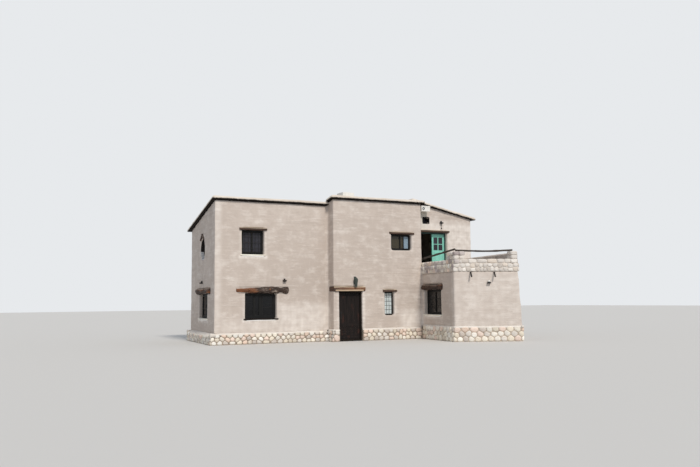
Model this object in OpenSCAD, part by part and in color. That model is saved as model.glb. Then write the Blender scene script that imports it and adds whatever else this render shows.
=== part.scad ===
// Two-storey adobe house with an entrance bay and a terrace room, millimetres.
// +Z is up and the front of the house faces -Y; Z = 0 is the level ground.

/* [House plan] */
// Length of the left wing along the front
left_wing_w = 5020; // [4600:10:5600]
// Length of the entrance bay along the front
bay_w = 4450; // [4200:10:5000]
// How far the entrance bay stands in front of the wings
bay_step = 530; // [300:10:800]
// Length of the right wing along the front
right_wing_w = 3130; // [2900:10:3800]
// Depth of the house from the wing fronts to the back
house_depth = 4600; // [4200:10:6000]
// How far the back end of the left side wall leans towards the right
side_splay = 350; // [100:10:500]
// Thickness of the outer adobe walls
wall_t = 420; // [360:10:480]
// Thickness of the short wall left of the entry door
pier_t = 260; // [200:10:300]
// Thickness of the cross wall under the high edge of the right roof
cross_wall_t = 380; // [300:10:420]
// Distance of the cross wall's left face from the bay's right face
cross_wall_back = 130; // [100:5:200]

/* [Terrace room] */
// Length of the terrace room's left wall
terrace_left_len = 3040; // [2700:10:3400]
// Angle of that wall from square to the house front
terrace_left_skew = 8; // [0:0.5:12]
// Length of the terrace room's front wall
terrace_front_len = 2700; // [2500:10:3200]
// Angle of that front wall to the house front
terrace_front_skew = 24.8; // [15:0.1:28]
// Where the right terrace wall meets the house, from the house corner
terrace_back_inset = 200; // [120:10:400]
// Thickness of the terrace room's walls
terrace_wall_t = 400; // [340:10:440]
// How far the right wall's foot stands out from its top
terrace_batter = 120; // [0:10:250]
// How far the plinth stands out from the foot of that wall
terrace_side_out = 20; // [10:10:80]

/* [Heights] */
// Top of the stone plinth of the wings and the back
plinth_h = 430; // [350:10:500]
// Top of the stone plinth of the entrance bay
bay_plinth_h = 490; // [400:10:540]
// Top of the stone plinth of the terrace room
terrace_plinth_h = 600; // [520:10:700]
// How far the plinths stand in front of the walls
plinth_out = 70; // [40:5:120]
// How far the plinth of the left side wall stands out
side_plinth_out = 170; // [100:10:250]
// Fall of the sloping cap on that plinth
side_cap_fall = 50; // [20:5:80]
// Top of the ground floor
ground_floor_z = 80; // [50:5:90]
// Top of the upper floor and of the terrace floor
upper_floor_z = 2900; // [2850:10:2950]
// Thickness of the upper floor and of the terrace floor
floor_t = 200; // [150:10:240]
// Underside of the left roof at the front wall
left_roof_z = 5820; // [5700:10:5950]
// Underside of the bay roof at the bay's front
bay_roof_z = 6050; // [6020:10:6150]
// Underside of the right roof at its high edge
right_roof_z = 6220; // [6200:10:6400]

/* [Roofs] */
// Slope of the left and bay roofs, falling to the back
roof_slope = 10.7; // [8:0.1:11]
// Slope of the right roof, falling to the right
right_roof_slope = 12; // [9:0.1:13]
// Thickness of the timber and cane layer that shows as a dark edge
deck_t = 85; // [70:5:130]
// Thickness of the mud layer on top
mud_t = 50; // [40:5:90]
// How far the mud stands back from the edge of the timber
mud_set_back = 15; // [0:5:30]
// Overhang of the roofs at the front and at the left side
eave_front = 120; // [60:10:200]
// Overhang of the roofs at the back and at the right side
eave_back = 200; // [100:10:300]
// Overhang of the right roof beyond the cross wall
verge_out = 60; // [20:10:100]
// Length and depth of the white cap on the bay roof
cap_size = 560; // [300:10:600]
// Height of the cap above the roof at its front
cap_h = 410; // [250:10:450]
// Distance of the cap's left side from the bay's left face
cap_x = 780; // [600:10:2000]
// Distance of the cap's front from the wing fronts
cap_y = 80; // [0:10:600]
// Thickness of the cap's walls
cap_wall = 110; // [60:10:140]

/* [Windows] */
// Width of the ground floor windows
low_win_w = 1360; // [1000:10:1500]
// Height of the ground floor windows
low_win_h = 1020; // [900:10:1050]
// Sill level of the ground floor windows
low_win_z = 1020; // [980:10:1060]
// Width of the upper windows
up_win_w = 965; // [800:5:1100]
// Height of the upper windows
up_win_h = 1000; // [800:10:1010]
// Sill level of the upper windows
up_win_z = 3630; // [3600:10:3640]
// Width of the narrow window beside the entry door
slit_win_w = 480; // [400:10:600]
// Width of the wide upper window of the bay
bay_win_w = 1050; // [700:10:1200]
// Height of the wide upper window of the bay
bay_win_h = 720; // [600:10:800]
// Sill level of the wide upper window of the bay
bay_win_z = 3920; // [3850:10:4000]
// Width of the terrace room's window
room_win_w = 1660; // [1200:10:1700]
// Height of the terrace room's window
room_win_h = 1080; // [900:10:1100]
// Diameter of the round window
round_win_d = 880; // [700:10:900]
// Height of the centre of the round window
round_win_z = 3925; // [3850:5:4000]
// Distance of its middle from the front corner
round_win_back = 2240; // [1900:10:2500]
// Width of the small vent window
vent_w = 360; // [300:10:500]
// Height of the small vent window
vent_h = 300; // [200:10:320]
// Sill level of the small vent window
vent_z = 5230; // [5200:10:5300]
// Distance of the window frames behind the wall face
frame_set_back = 150; // [100:10:200]
// Width of the window frame members
frame_w = 60; // [45:5:70]
// Depth of the window frame members
frame_d = 60; // [40:5:80]
// Thickness of the window glass
glass_t = 6; // [4:1:10]
// Thickness of the window sills
sill_t = 50; // [35:5:60]
// How far the sills stand in front of the wall
sill_out = 35; // [20:5:60]
// How far the sills run past the window at each end
sill_horn = 70; // [40:5:100]

/* [Lintels] */
// Diameter of the log lintels
log_d = 250; // [200:10:260]
// How far the logs run past the window on the left
log_left = 380; // [250:10:450]
// How far the logs run past the window on the right
log_right = 520; // [250:10:620]
// How far the log of the terrace room runs past its window at each end
room_log_past = 150; // [100:10:170]
// How far the logs stand in front of the wall
log_out = 100; // [60:10:120]
// Height of the board lintels
board_h = 95; // [80:5:140]
// How far the board lintels run past the window at each end
board_past = 110; // [60:5:130]
// Depth of the lintels' seat in the wall
lintel_seat = 180; // [140:10:220]
// How far the board lintels stand in front of the wall
lintel_out = 60; // [30:5:80]

/* [Entry door] */
// Width of the entry doorway between the walls
door_w = 1120; // [1000:10:1200]
// Height of the entry doorway above the ground
door_top = 2120; // [2050:10:2200]
// Height of the beam over the entry door
door_beam_h = 190; // [150:10:220]
// Width of the door frame's posts and head
door_frame_w = 60; // [50:5:80]
// Depth of the door frame
door_frame_d = 110; // [80:5:140]
// Distance of the door frame behind the wall face
door_set_back = 90; // [60:10:160]
// Thickness of the door leaf
leaf_t = 45; // [35:1:60]
// Running gap around the door leaf
leaf_gap = 6; // [5:0.5:10]
// Diameter of the hinge pins
pin_d = 12; // [8:1:16]
// Outer diameter of the hinge knuckles
knuckle_d = 26; // [20:1:32]
// Length of one hinge knuckle
knuckle_h = 60; // [40:5:80]
// Running clearance between hinge pin and knuckle
pin_gap = 0.4; // [0.2:0.1:0.6]
// Thickness of the hinge plates
plate_t = 4; // [3:0.5:6]

/* [Terrace door] */
// Width of the terrace doorway
ter_door_w = 1480; // [1300:10:1600]
// Height of the terrace doorway above the floor
ter_door_h = 1940; // [1800:10:1960]
// Distance of the terrace doorway from the corner of the bay
ter_door_x = 290; // [260:10:400]
// Angle at which the left leaf stands open
ter_leaf_angle = 80; // [60:1:85]
// Thickness of the terrace door leaves
ter_leaf_t = 40; // [30:1:50]
// Width of the stiles of these leaves
stile = 90; // [60:5:110]
// Height of the solid lower part of these leaves
panel_h = 1120; // [500:10:1200]
// Height of the rail at the top of these leaves
top_rail_h = 145; // [80:5:200]
// Gap under these leaves
ter_leaf_gap = 10; // [5:1:20]

/* [Terrace parapet] */
// Height of the stone band around the terrace
band_h = 340; // [280:10:400]
// Level of the underside of the stone band
band_z = 2870; // [2850:10:2890]
// How far the stone band stands in front of the walls
band_out = 35; // [20:5:60]
// Height of the coping on the stone band
coping_h = 180; // [120:10:220]
// Thickness of the parapets
parapet_t = 300; // [240:10:340]
// Top of the right parapet
right_parapet_top = 3640; // [3500:10:3700]
// Width of the corner pillars
pillar_w = 330; // [280:10:380]
// Length of the left pillar along the left parapet
left_pillar_l = 600; // [330:10:800]
// Top of the corner pillars
pillar_top = 3710; // [3660:10:3800]
// Diameter of the wooden rail
rail_d = 90; // [70:5:110]
// How much lower the left rail is at the house wall
rail_drop = 260; // [0:10:400]
// Inner width of the drain spouts
spout_bore = 44; // [35:1:60]
// Outer diameter of the drain spouts
spout_d = 60; // [55:5:90]
// Length of the spouts' part that turns down in front of the wall
spout_out = 260; // [200:10:400]

/* [Fittings] */
// Middle of the lamp on the left wing, from the ground floor window's right side
lamp_window_gap = 340; // [150:10:600]
// Middle of the lamp beside the terrace door, from the door's left side
lamp_door_x = 1140; // [800:10:1800]
// Width of the small wall lamps
lamp_w = 140; // [100:10:180]
// How far the small wall lamps stand out
lamp_d = 110; // [80:10:140]
// Height of a small wall lamp's shade
lamp_h = 60; // [40:5:80]
// Width of the lantern over the entry door
lantern_w = 200; // [150:10:240]
// Height of the lantern's body
lantern_h = 330; // [260:10:380]
// Length of the white rain box in the corner of the bay roof
rain_box_w = 480; // [350:10:520]
// Height of the rain box
rain_box_h = 250; // [200:10:300]
// Depth of the rain box
rain_box_d = 320; // [250:10:400]
// Thickness of the rain box's sheet
rain_box_t = 20; // [10:1:30]

/* [Hidden] */

far = 20000;
eps = 1;
fit_gap = 0.3;
house_w = left_wing_w + bay_w + right_wing_w;
centre_x = house_w / 2;
bay_end = left_wing_w + bay_w;
cross_x = bay_end - cross_wall_back;

plaster = "#cdc0b4";
stone = "#d8cbb8";
timber = "#3a2a20";
log_wood = "#6e3f28";
dark_paint = "#20201f";
aqua_paint = "#4fb39c";
iron = "#2c2f2d";
mud = "#b9a893";
white_paint = "#eae7dd";

// Plan corners, anticlockwise from the front left corner of the house
HOUSE = [[0, 0], [left_wing_w, 0], [left_wing_w, -bay_step], [bay_end, -bay_step],
         [bay_end, 0], [house_w, 0], [house_w, house_depth], [side_splay, house_depth]];
HOUSE_T = [wall_t, pier_t, wall_t, wall_t, wall_t, wall_t, wall_t, wall_t];

LEFT_FRONT = 0;
BAY_LEFT = 1;
BAY_FRONT = 2;
BAY_RIGHT = 3;
RIGHT_FRONT = 4;
RIGHT_SIDE = 5;
BACK = 6;
LEFT_SIDE = 7;
TERRACE_LEFT = 8;
TERRACE_FRONT = 9;
TERRACE_RIGHT = 10;

terrace_e = [bay_end - terrace_left_len * sin(terrace_left_skew),
             -bay_step - terrace_left_len * cos(terrace_left_skew)];
terrace_f = terrace_e + terrace_front_len
            * [cos(terrace_front_skew), -sin(terrace_front_skew)];
TERRACE = [[bay_end, -bay_step], terrace_e, terrace_f,
           [house_w - terrace_back_inset, 0]];

function unit(a, b) = (b - a) / norm(b - a);
function inward(d) = [-d.y, d.x];
function cross2(a, b) = a.x * b.y - a.y * b.x;
function meet(p, d, q, e) = p + d * cross2(q - p, e) / cross2(d, e);
function prev(i, n) = (i + n - 1) % n;
function next(i, n) = (i + 1) % n;
// Corner i of a closed outline after each edge has moved inwards by t[edge]
function inset_corner(pts, t, i) =
    let (n = len(pts), h = prev(i, n),
         d = unit(pts[h], pts[i]), e = unit(pts[i], pts[next(i, n)]))
    meet(pts[i] + inward(d) * t[h], d, pts[i] + inward(e) * t[i], e);
function inset(pts, t) = [for (i = [0:len(pts) - 1]) inset_corner(pts, t, i)];

HOUSE_IN = inset(HOUSE, HOUSE_T);
HOUSE_OUT = inset(HOUSE, [for (i = [0:len(HOUSE) - 1])
                          i == LEFT_SIDE ? -side_plinth_out : -plinth_out]);

// Start, end and thickness of wall number i
function wall_a(i) = i < TERRACE_LEFT ? HOUSE[i] : TERRACE[i - TERRACE_LEFT];
function wall_b(i) = i < TERRACE_LEFT ? HOUSE[next(i, len(HOUSE))]
                                      : TERRACE[i - TERRACE_LEFT + 1];
function wall_thick(i) = i < TERRACE_LEFT ? HOUSE_T[i] : terrace_wall_t;
function wall_len(i) = norm(wall_b(i) - wall_a(i));
function plinth_top(i) = i == BAY_LEFT || i == BAY_FRONT ? bay_plinth_h : plinth_h;

// Crossing of terrace walls j and j + 1, moved inwards by a and by b
function terrace_cross(j, a, b) =
    let (d = unit(TERRACE[j], TERRACE[j + 1]), e = unit(TERRACE[j + 1], TERRACE[j + 2]))
    meet(TERRACE[j] + inward(d) * a, d, TERRACE[j + 1] + inward(e) * b, e);
// Crossing of terrace wall j, moved inwards by a, with the line y = y0
function terrace_at_y(j, a, y0) =
    let (d = unit(TERRACE[j], TERRACE[j + 1]))
    meet(TERRACE[j] + inward(d) * a, d, [0, y0], [1, 0]);
function terrace_corner(k, a) =
    k == 0 ? terrace_at_y(0, a, 0)
    : k == 3 ? terrace_at_y(2, a, 0)
    : terrace_cross(k - 1, a, a);

// Outlines of the terrace walls, t thick, standing out by o, and by r on the right.
// The left one starts on the bay's corner and wraps the bay's right face.
function left_outline(t, o, back) =
    [terrace_at_y(0, -o, -bay_step), terrace_cross(0, -o, back),
     terrace_cross(0, t, back), terrace_corner(0, t), [bay_end, 0],
     [bay_end, -bay_step]];
function front_outline(t, o, r) =
    [terrace_cross(0, -o, -o), terrace_cross(1, -o, -r),
     terrace_cross(1, t, -r), terrace_cross(0, -o, t)];
function right_outline(t, back, r) =
    [terrace_cross(1, back, -r), terrace_at_y(2, -r, 0),
     terrace_corner(3, t), terrace_cross(1, back, t)];

// Plan of the terrace room inside its walls, which are t thick
function terrace_inside(t) = [for (k = [0:3]) terrace_corner(k, t)];

// Windows: [wall, left end along the wall, sill level, width, height, lintel, sill]
NO_LINTEL = 0;
LOG = 1;
BOARD = 2;
left_side_len = wall_len(LEFT_SIDE);
low_win_x = 1290;
up_win_x = 1135;
side_win_x = 1740;
side_win_w = low_win_w + 230;
slit_win_x = 2500;
slit_win_z = low_win_z + 50;
bay_win_x = 2870;
room_win_x = 180;
room_win_z = low_win_z + 60;
back_low_xs = [4400, 9000];
back_up_xs = [4600, 9200];
right_low_x = 1750;
right_up_x = 1900;
vent_x = ter_door_x + 130;
WINDOWS = [
    [LEFT_FRONT, low_win_x, low_win_z, low_win_w, low_win_h, LOG, true],
    [LEFT_FRONT, up_win_x, up_win_z, up_win_w, up_win_h, BOARD, true],
    [LEFT_SIDE, side_win_x, low_win_z, side_win_w, low_win_h, LOG, true],
    [BAY_FRONT, slit_win_x, slit_win_z, slit_win_w, low_win_h, BOARD, false],
    [BAY_FRONT, bay_win_x, bay_win_z, bay_win_w, bay_win_h, BOARD, false],
    [RIGHT_FRONT, vent_x, vent_z, vent_w, vent_h, NO_LINTEL, false],
    [TERRACE_LEFT, room_win_x, room_win_z, room_win_w, room_win_h, LOG, true],
    [RIGHT_SIDE, right_low_x, low_win_z, low_win_w, low_win_h, LOG, true],
    [RIGHT_SIDE, right_up_x, up_win_z, up_win_w, up_win_h, BOARD, true],
    for (x = back_low_xs) [BACK, x, low_win_z, low_win_w, low_win_h, LOG, true],
    for (x = back_up_xs) [BACK, x, up_win_z, up_win_w, up_win_h, BOARD, true]];
round_win_x = left_side_len - round_win_back;

// How far a window's log runs past it on the left and on the right
function log_l(w) = w[0] == TERRACE_LEFT ? room_log_past : log_left;
function log_r(w) = w[0] == TERRACE_LEFT ? room_log_past : log_right;

// ---- placing ----

module centred() {
    translate([-centre_x, 0, 0])
        children();
}

// Puts children in a wall's own frame: X along it, Y into the house, Z up
module on_wall(i) {
    d = wall_b(i) - wall_a(i);
    centred()
        translate([wall_a(i).x, wall_a(i).y, 0])
            rotate([0, 0, atan2(d.y, d.x)])
                children();
}

module block(outline, z0, z1) {
    translate([0, 0, z0])
        linear_extrude(z1 - z0)
            polygon(outline);
}

// ---- roofs: layers between two planes ----

// Layer that starts at height z on y = y0 and falls to the back
module back_falling(x0, x1, y0, y1, ref_y, z, slope, low, high) {
    fall = tan(slope);
    translate([x1, 0, 0])
        rotate([90, 0, -90])
            linear_extrude(x1 - x0)
                polygon([[-y0, z - (y0 - ref_y) * fall + low],
                         [-y1, z - (y1 - ref_y) * fall + low],
                         [-y1, z - (y1 - ref_y) * fall + high],
                         [-y0, z - (y0 - ref_y) * fall + high]]);
}

// Layer that starts at height z on x = ref_x and falls to the right
module right_falling(x0, x1, y0, y1, ref_x, z, slope, low, high) {
    fall = tan(slope);
    translate([0, y1, 0])
        rotate([90, 0, 0])
            linear_extrude(y1 - y0)
                polygon([[x0, z - (x0 - ref_x) * fall + low],
                         [x1, z - (x1 - ref_x) * fall + low],
                         [x1, z - (x1 - ref_x) * fall + high],
                         [x0, z - (x0 - ref_x) * fall + high]]);
}

module left_layer(low, high) {
    back_falling(-far / 4, left_wing_w, -far / 4, far / 2, 0, left_roof_z,
                 roof_slope, low, high);
}

module bay_layer(x1, low, high) {
    back_falling(left_wing_w - eave_front * 2, x1, -far / 4, far / 2, -bay_step,
                 bay_roof_z, roof_slope, low, high);
}

module right_layer(low, high) {
    right_falling(cross_x - verge_out, far, -far / 4, far / 2, cross_x,
                  right_roof_z, right_roof_slope, low, high);
}

// The space under the three roofs, where the house walls end
module under_roofs() {
    reach = -far / 2;
    left_layer(reach, 0);
    intersection() {
        bay_layer(cross_x, reach, 0);
        block([[left_wing_w, -far], [far, -far], [far, far], [left_wing_w, far]],
              0, far);
    }
    intersection() {
        bay_layer(bay_end + wall_t, reach, 0);
        block([[cross_x - eps, -far], [far, -far], [far, 0], [cross_x - eps, 0]],
              0, far);
    }
    intersection() {
        right_layer(reach, 0);
        block([[cross_x, 0], [far, 0], [far, far], [cross_x, far]], 0, far);
    }
}

// ---- openings cut through the walls ----

module opening_cut(w) {
    translate([w[1], -far / 20, w[2]])
        cube([w[3], far / 10, w[4]]);
}

// Twelve-sided log with a flat face on the wall's seat all round
module log_at(w) {
    translate([w[1] - log_l(w) + fit_gap, log_d / 2 - log_out,
               w[2] + w[4] + log_d / 2])
        rotate([0, 90, 0])
            rotate([0, 0, 15])
                cylinder(d = (log_d - 2 * fit_gap) / cos(15),
                         h = w[3] + log_l(w) + log_r(w) - 2 * fit_gap, $fn = 12);
}

module board_at(w, y0) {
    translate([w[1] - board_past, y0, w[2] + w[4]])
        cube([w[3] + 2 * board_past, lintel_seat - y0, board_h]);
}

module log_pocket(w) {
    translate([w[1] - log_l(w), -eps, w[2] + w[4]])
        cube([w[3] + log_l(w) + log_r(w), log_d - log_out + eps, log_d]);
}

module sill_at(w, y0, horn) {
    translate([w[1] - horn, y0, w[2] - sill_t])
        cube([w[3] + 2 * horn, frame_set_back + frame_d - y0, sill_t]);
}

module wall_cuts(i) {
    for (w = WINDOWS) {
        if (w[0] == i) {
            opening_cut(w);
            if (w[5] == LOG) {
                log_pocket(w);
            }
            if (w[5] == BOARD) {
                board_at(w, -eps);
            }
            if (w[6]) {
                sill_at(w, -eps, sill_horn);
            }
        }
    }
}

module round_cut() {
    translate([round_win_x, -far / 20, round_win_z])
        rotate([-90, 0, 0])
            cylinder(d = round_win_d, h = far / 10, $fn = 48);
}

// One outer wall of the house from z0 to the roofs, with its windows cut out
module house_wall(i, z0) {
    n = len(HOUSE);
    difference() {
        intersection() {
            centred()
                block([HOUSE[i], HOUSE[next(i, n)], HOUSE_IN[next(i, n)], HOUSE_IN[i]],
                      z0, far / 2);
            centred()
                under_roofs();
        }
        on_wall(i)
            wall_cuts(i);
    }
}

module house_plinth(i) {
    n = len(HOUSE);
    centred()
        block([HOUSE_OUT[i], HOUSE_OUT[next(i, n)], HOUSE_IN[next(i, n)], HOUSE_IN[i]],
              0, plinth_top(i));
}

// The left side plinth, whose top falls outwards in front of the wall
module left_side_plinth() {
    intersection() {
        house_plinth(LEFT_SIDE);
        on_wall(LEFT_SIDE)
            translate([-far / 20, 0, 0])
                rotate([90, 0, 90])
                    linear_extrude(wall_len(LEFT_SIDE) + far / 10)
                        polygon([[-side_plinth_out, 0], [2 * wall_t, 0],
                                 [2 * wall_t, plinth_h], [0, plinth_h],
                                 [-side_plinth_out, plinth_h - side_cap_fall]]);
    }
}

// Plan area left or right of an upright line, for splitting a wall
module x_range(x0, x1) {
    centred()
        block([[x0, -far], [x1, -far], [x1, far], [x0, far]], 0, far);
}

// Plain doorways inside: in the cross wall and into the terrace room
inner_door_y = 1600;
inner_door_w = 900;
inner_door_h = 2000;
room_door_x = 600;

door_x0 = left_wing_w + pier_t;
door_x1 = door_x0 + door_w;
door_beam_x0 = left_wing_w;
door_beam_x1 = door_x1 + 120;
door_beam_top = door_top + door_beam_h;

// ---- floors ----

module ground_floor() {
    color(mud)
        centred() {
            block(HOUSE_IN, 0, ground_floor_z);
            block(terrace_inside(terrace_wall_t + fit_gap), 0, ground_floor_z);
        }
}

module upper_floor() {
    color(mud)
        centred()
            difference() {
                block(HOUSE_IN, upper_floor_z - floor_t, upper_floor_z);
                block([[cross_x, 0], [cross_x + cross_wall_t, 0],
                       [cross_x + cross_wall_t, far], [cross_x, far]],
                      0, far);
            }
}

// The floor of the terrace also covers the wall tops inside the parapets
module terrace_floor() {
    color(mud)
        difference() {
            centred() {
                block(terrace_inside(terrace_wall_t + fit_gap),
                      upper_floor_z - floor_t, upper_floor_z);
                block(terrace_inside(parapet_t + fit_gap), band_z, upper_floor_z);
            }
            spouts(spout_d);
        }
}

// ---- plinths ----

module front_plinth() {
    color(stone) {
        house_plinth(LEFT_FRONT);
        intersection() {
            house_plinth(BAY_FRONT);
            x_range(door_x1, far);
        }
    }
}

module side_plinth() {
    color(stone) {
        left_side_plinth();
        intersection() {
            house_plinth(RIGHT_SIDE);
            centred()
                block([[0, 0], [far, 0], [far, far], [0, far]], 0, far);
        }
        difference() {
            house_plinth(BAY_LEFT);
            house_wall(LEFT_FRONT, plinth_h);
        }
        intersection() {
            house_plinth(BAY_FRONT);
            x_range(0, door_x0);
        }
    }
}

module back_plinth() {
    color(stone)
        house_plinth(BACK);
}

module terrace_front_plinth() {
    color(stone)
        centred()
            block(front_outline(terrace_wall_t, plinth_out,
                                terrace_batter + terrace_side_out),
                  0, terrace_plinth_h);
}

module terrace_side_plinth() {
    color(stone) {
        difference() {
            centred()
                block(left_outline(terrace_wall_t, plinth_out, terrace_wall_t + fit_gap),
                      0, terrace_plinth_h);
            house_plinth(BAY_FRONT);
            house_plinth(BAY_RIGHT);
            house_wall(BAY_FRONT, bay_plinth_h);
        }
        centred()
            block(right_outline(terrace_wall_t, terrace_wall_t + fit_gap,
                                terrace_batter + terrace_side_out),
                  0, terrace_plinth_h);
    }
}

// ---- house walls ----

module left_front_wall() {
    color(plaster)
        house_wall(LEFT_FRONT, plinth_h);
}

module left_side_wall() {
    color(plaster)
        difference() {
            house_wall(LEFT_SIDE, plinth_h);
            on_wall(LEFT_SIDE)
                round_cut();
        }
}

module back_wall() {
    color(plaster)
        house_wall(BACK, plinth_h);
}

module right_side_wall() {
    color(plaster)
        house_wall(RIGHT_SIDE, plinth_h);
}

module right_front_wall() {
    color(plaster)
        difference() {
            house_wall(RIGHT_FRONT, 0);
            on_wall(RIGHT_FRONT) {
                terrace_doorway();
                translate([room_door_x, -far / 20, ground_floor_z])
                    cube([inner_door_w, far / 10, inner_door_h]);
            }
        }
}

module cross_wall() {
    color(plaster)
        difference() {
            centred()
                intersection() {
                    block([[cross_x, wall_t], [cross_x + cross_wall_t, wall_t],
                           [cross_x + cross_wall_t, house_depth - wall_t],
                           [cross_x, house_depth - wall_t]], ground_floor_z, far / 2);
                    under_roofs();
                }
            centred()
                for (z = [ground_floor_z, upper_floor_z])
                    translate([cross_x - eps, inner_door_y, z])
                        cube([cross_wall_t + 2 * eps, inner_door_w, inner_door_h]);
        }
}

module bay_pier_wall() {
    color(plaster)
        difference() {
            union() {
                house_wall(BAY_LEFT, bay_plinth_h);
                intersection() {
                    house_wall(BAY_FRONT, bay_plinth_h);
                    x_range(0, door_x0);
                }
            }
            door_beam_seat();
        }
}

module bay_over_door_wall() {
    color(plaster)
        intersection() {
            house_wall(BAY_FRONT, door_beam_top);
            x_range(door_x0, door_x1);
        }
}

module bay_front_wall() {
    color(plaster)
        difference() {
            intersection() {
                house_wall(BAY_FRONT, bay_plinth_h);
                x_range(door_x1, far);
            }
            door_beam_seat();
        }
}

module bay_return_wall() {
    color(plaster)
        house_wall(BAY_RIGHT, 0);
}

module door_beam_seat() {
    centred()
        translate([door_beam_x0 - eps, -bay_step - eps, door_top])
            cube([door_beam_x1 - door_beam_x0 + eps, wall_t + 2 * eps, door_beam_h]);
}

// ---- terrace room walls ----

// Space left of the right wall's sloping outer face
module inside_batter() {
    on_wall(TERRACE_RIGHT)
        translate([-far / 20, 0, 0])
            rotate([90, 0, 90])
                linear_extrude(far / 2)
                    polygon([[-terrace_batter, terrace_plinth_h], [far, terrace_plinth_h],
                             [far, band_z], [0, band_z]]);
}

module terrace_left_wall() {
    color(plaster)
        difference() {
            centred()
                block(left_outline(terrace_wall_t, 0, terrace_wall_t + fit_gap),
                      terrace_plinth_h, band_z);
            on_wall(TERRACE_LEFT)
                wall_cuts(TERRACE_LEFT);
        }
}

module terrace_front_wall() {
    color(plaster)
        difference() {
            intersection() {
                centred()
                    block(front_outline(terrace_wall_t, 0, terrace_batter),
                          terrace_plinth_h, band_z);
                inside_batter();
            }
            spouts(spout_d);
        }
}

module terrace_right_wall() {
    color(plaster)
        intersection() {
            centred()
                block(right_outline(terrace_wall_t, terrace_wall_t + fit_gap,
                                    terrace_batter), terrace_plinth_h, band_z);
            inside_batter();
        }
}

// ---- roofs ----

module left_roof_plan(o) {
    block([[-eave_front + o, -eave_front + o], [left_wing_w, -eave_front + o],
           [left_wing_w, house_depth + eave_back - o],
           [side_splay - eave_front + o, house_depth + eave_back - o]], 0, far);
}

module bay_roof_plan(o) {
    block([[left_wing_w - eave_front + o, -bay_step - eave_front + o],
           [bay_end + eave_front - o, -bay_step - eave_front + o],
           [bay_end + eave_front - o, 0], [cross_x, 0],
           [cross_x, house_depth + eave_back - o],
           [left_wing_w, house_depth + eave_back - o], [left_wing_w, -eave_front],
           [left_wing_w - eave_front + o, -eave_front]], 0, far);
}

module right_roof_plan(o) {
    block([[cross_x - verge_out + o, -eave_front + o],
           [house_w + eave_back - o, -eave_front + o],
           [house_w + eave_back - o, house_depth + eave_back - o],
           [cross_x - verge_out + o, house_depth + eave_back - o]], 0, far);
}

module roof_layers(o, low, high) {
    centred() {
        intersection() {
            left_layer(low, high);
            left_roof_plan(o);
        }
        intersection() {
            bay_layer(bay_end + wall_t, low, high);
            bay_roof_plan(o);
        }
        intersection() {
            right_layer(low, high);
            right_roof_plan(o);
        }
    }
}

module roof_decks() {
    color(timber)
        roof_layers(0, 0, deck_t);
}

module roof_mud() {
    color(mud)
        difference() {
            roof_layers(mud_set_back, deck_t, deck_t + mud_t);
            centred()
                cap_block();
        }
}

// Beam that carries the bay roof's left edge beside the lower left roof
module roof_step_beam() {
    beam_w = 200;
    beam_h = 220;
    color(timber)
        centred()
            intersection() {
                bay_layer(far, -beam_h, 0);
                block([[left_wing_w, wall_t], [left_wing_w + beam_w, wall_t],
                       [left_wing_w + beam_w, house_depth - wall_t],
                       [left_wing_w, house_depth - wall_t]], 0, far);
            }
}

// The upright block of the cap, from the ground to the cap's top
module cap_block() {
    translate([left_wing_w + cap_x, cap_y, 0])
        cube([cap_size, cap_size, bay_roof_z + cap_h]);
}

module roof_cap_body() {
    centred()
        intersection() {
            cap_block();
            bay_layer(bay_end + wall_t, deck_t, far);
        }
}

module roof_cap() {
    color(white_paint)
        difference() {
            roof_cap_body();
            centred()
                translate([left_wing_w + cap_x + cap_wall, cap_y + cap_wall,
                           bay_roof_z + deck_t])
                    cube([cap_size - 2 * cap_wall, cap_size - 2 * cap_wall, far]);
        }
}

module rain_box() {
    // Gaps to the bay roof's end and under its edge
    side_gap = 30;
    top_gap = 40;
    x0 = bay_end + eave_front + side_gap;
    z0 = bay_roof_z - rain_box_h - top_gap;
    outlet_d = 110;
    color(white_paint)
        centred()
            difference() {
                translate([x0, -rain_box_d, z0])
                    cube([rain_box_w, rain_box_d, rain_box_h]);
                translate([x0 + rain_box_t, -rain_box_d + rain_box_t, z0 + rain_box_t])
                    cube([rain_box_w - 2 * rain_box_t, rain_box_d - 2 * rain_box_t,
                          rain_box_h]);
                translate([x0 + rain_box_w / 4, -rain_box_d - eps,
                           z0 + rain_box_h / 2])
                    rotate([-90, 0, 0])
                        cylinder(d = outlet_d, h = 2 * rain_box_t, $fn = 32);
            }
}

// ---- terrace parapet ----

coping_top = band_z + band_h + coping_h;

module parapet_solid(band, body, top) {
    centred() {
        block(band, band_z, band_z + band_h);
        block(body, band_z, top);
    }
}

module terrace_front_parapet() {
    color(stone)
        difference() {
            parapet_solid(front_outline(parapet_t, band_out, band_out),
                          front_outline(parapet_t, 0, 0), coping_top);
            pillar_block(1, left_pillar_l);
            pillar_block(2, pillar_w);
            spouts(spout_d);
        }
}

module terrace_side_parapets() {
    back = parapet_t + fit_gap;
    color(stone)
        difference() {
            union() {
                parapet_solid(left_outline(parapet_t, band_out, back),
                              left_outline(parapet_t, 0, back), coping_top);
                parapet_solid(right_outline(parapet_t, back, band_out),
                              right_outline(parapet_t, back, 0), right_parapet_top);
            }
            pillar_block(1, left_pillar_l);
            pillar_block(2, pillar_w);
        }
}

// Stone pillar on the band at terrace corner k, l long towards the house
module pillar_block(k, l) {
    centred()
        intersection() {
            block(TERRACE, band_z + band_h, far);
            translate([TERRACE[k].x, TERRACE[k].y, band_z + band_h])
                rotate([0, 0, -terrace_front_skew])
                    translate([-pillar_w, -l, 0])
                        cube([2 * pillar_w, 2 * l, pillar_top - band_z - band_h]);
        }
}

module terrace_pillars() {
    color(stone) {
        pillar_block(1, left_pillar_l);
        pillar_block(2, pillar_w);
    }
}

// Straight pole between the centres of its two ends
module pole(a, b) {
    d = b - a;
    translate(a)
        rotate([0, atan2(norm([d.x, d.y]), d.z), atan2(d.y, d.x)])
            cylinder(d = rail_d, h = norm(d), $fn = 24);
}

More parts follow.
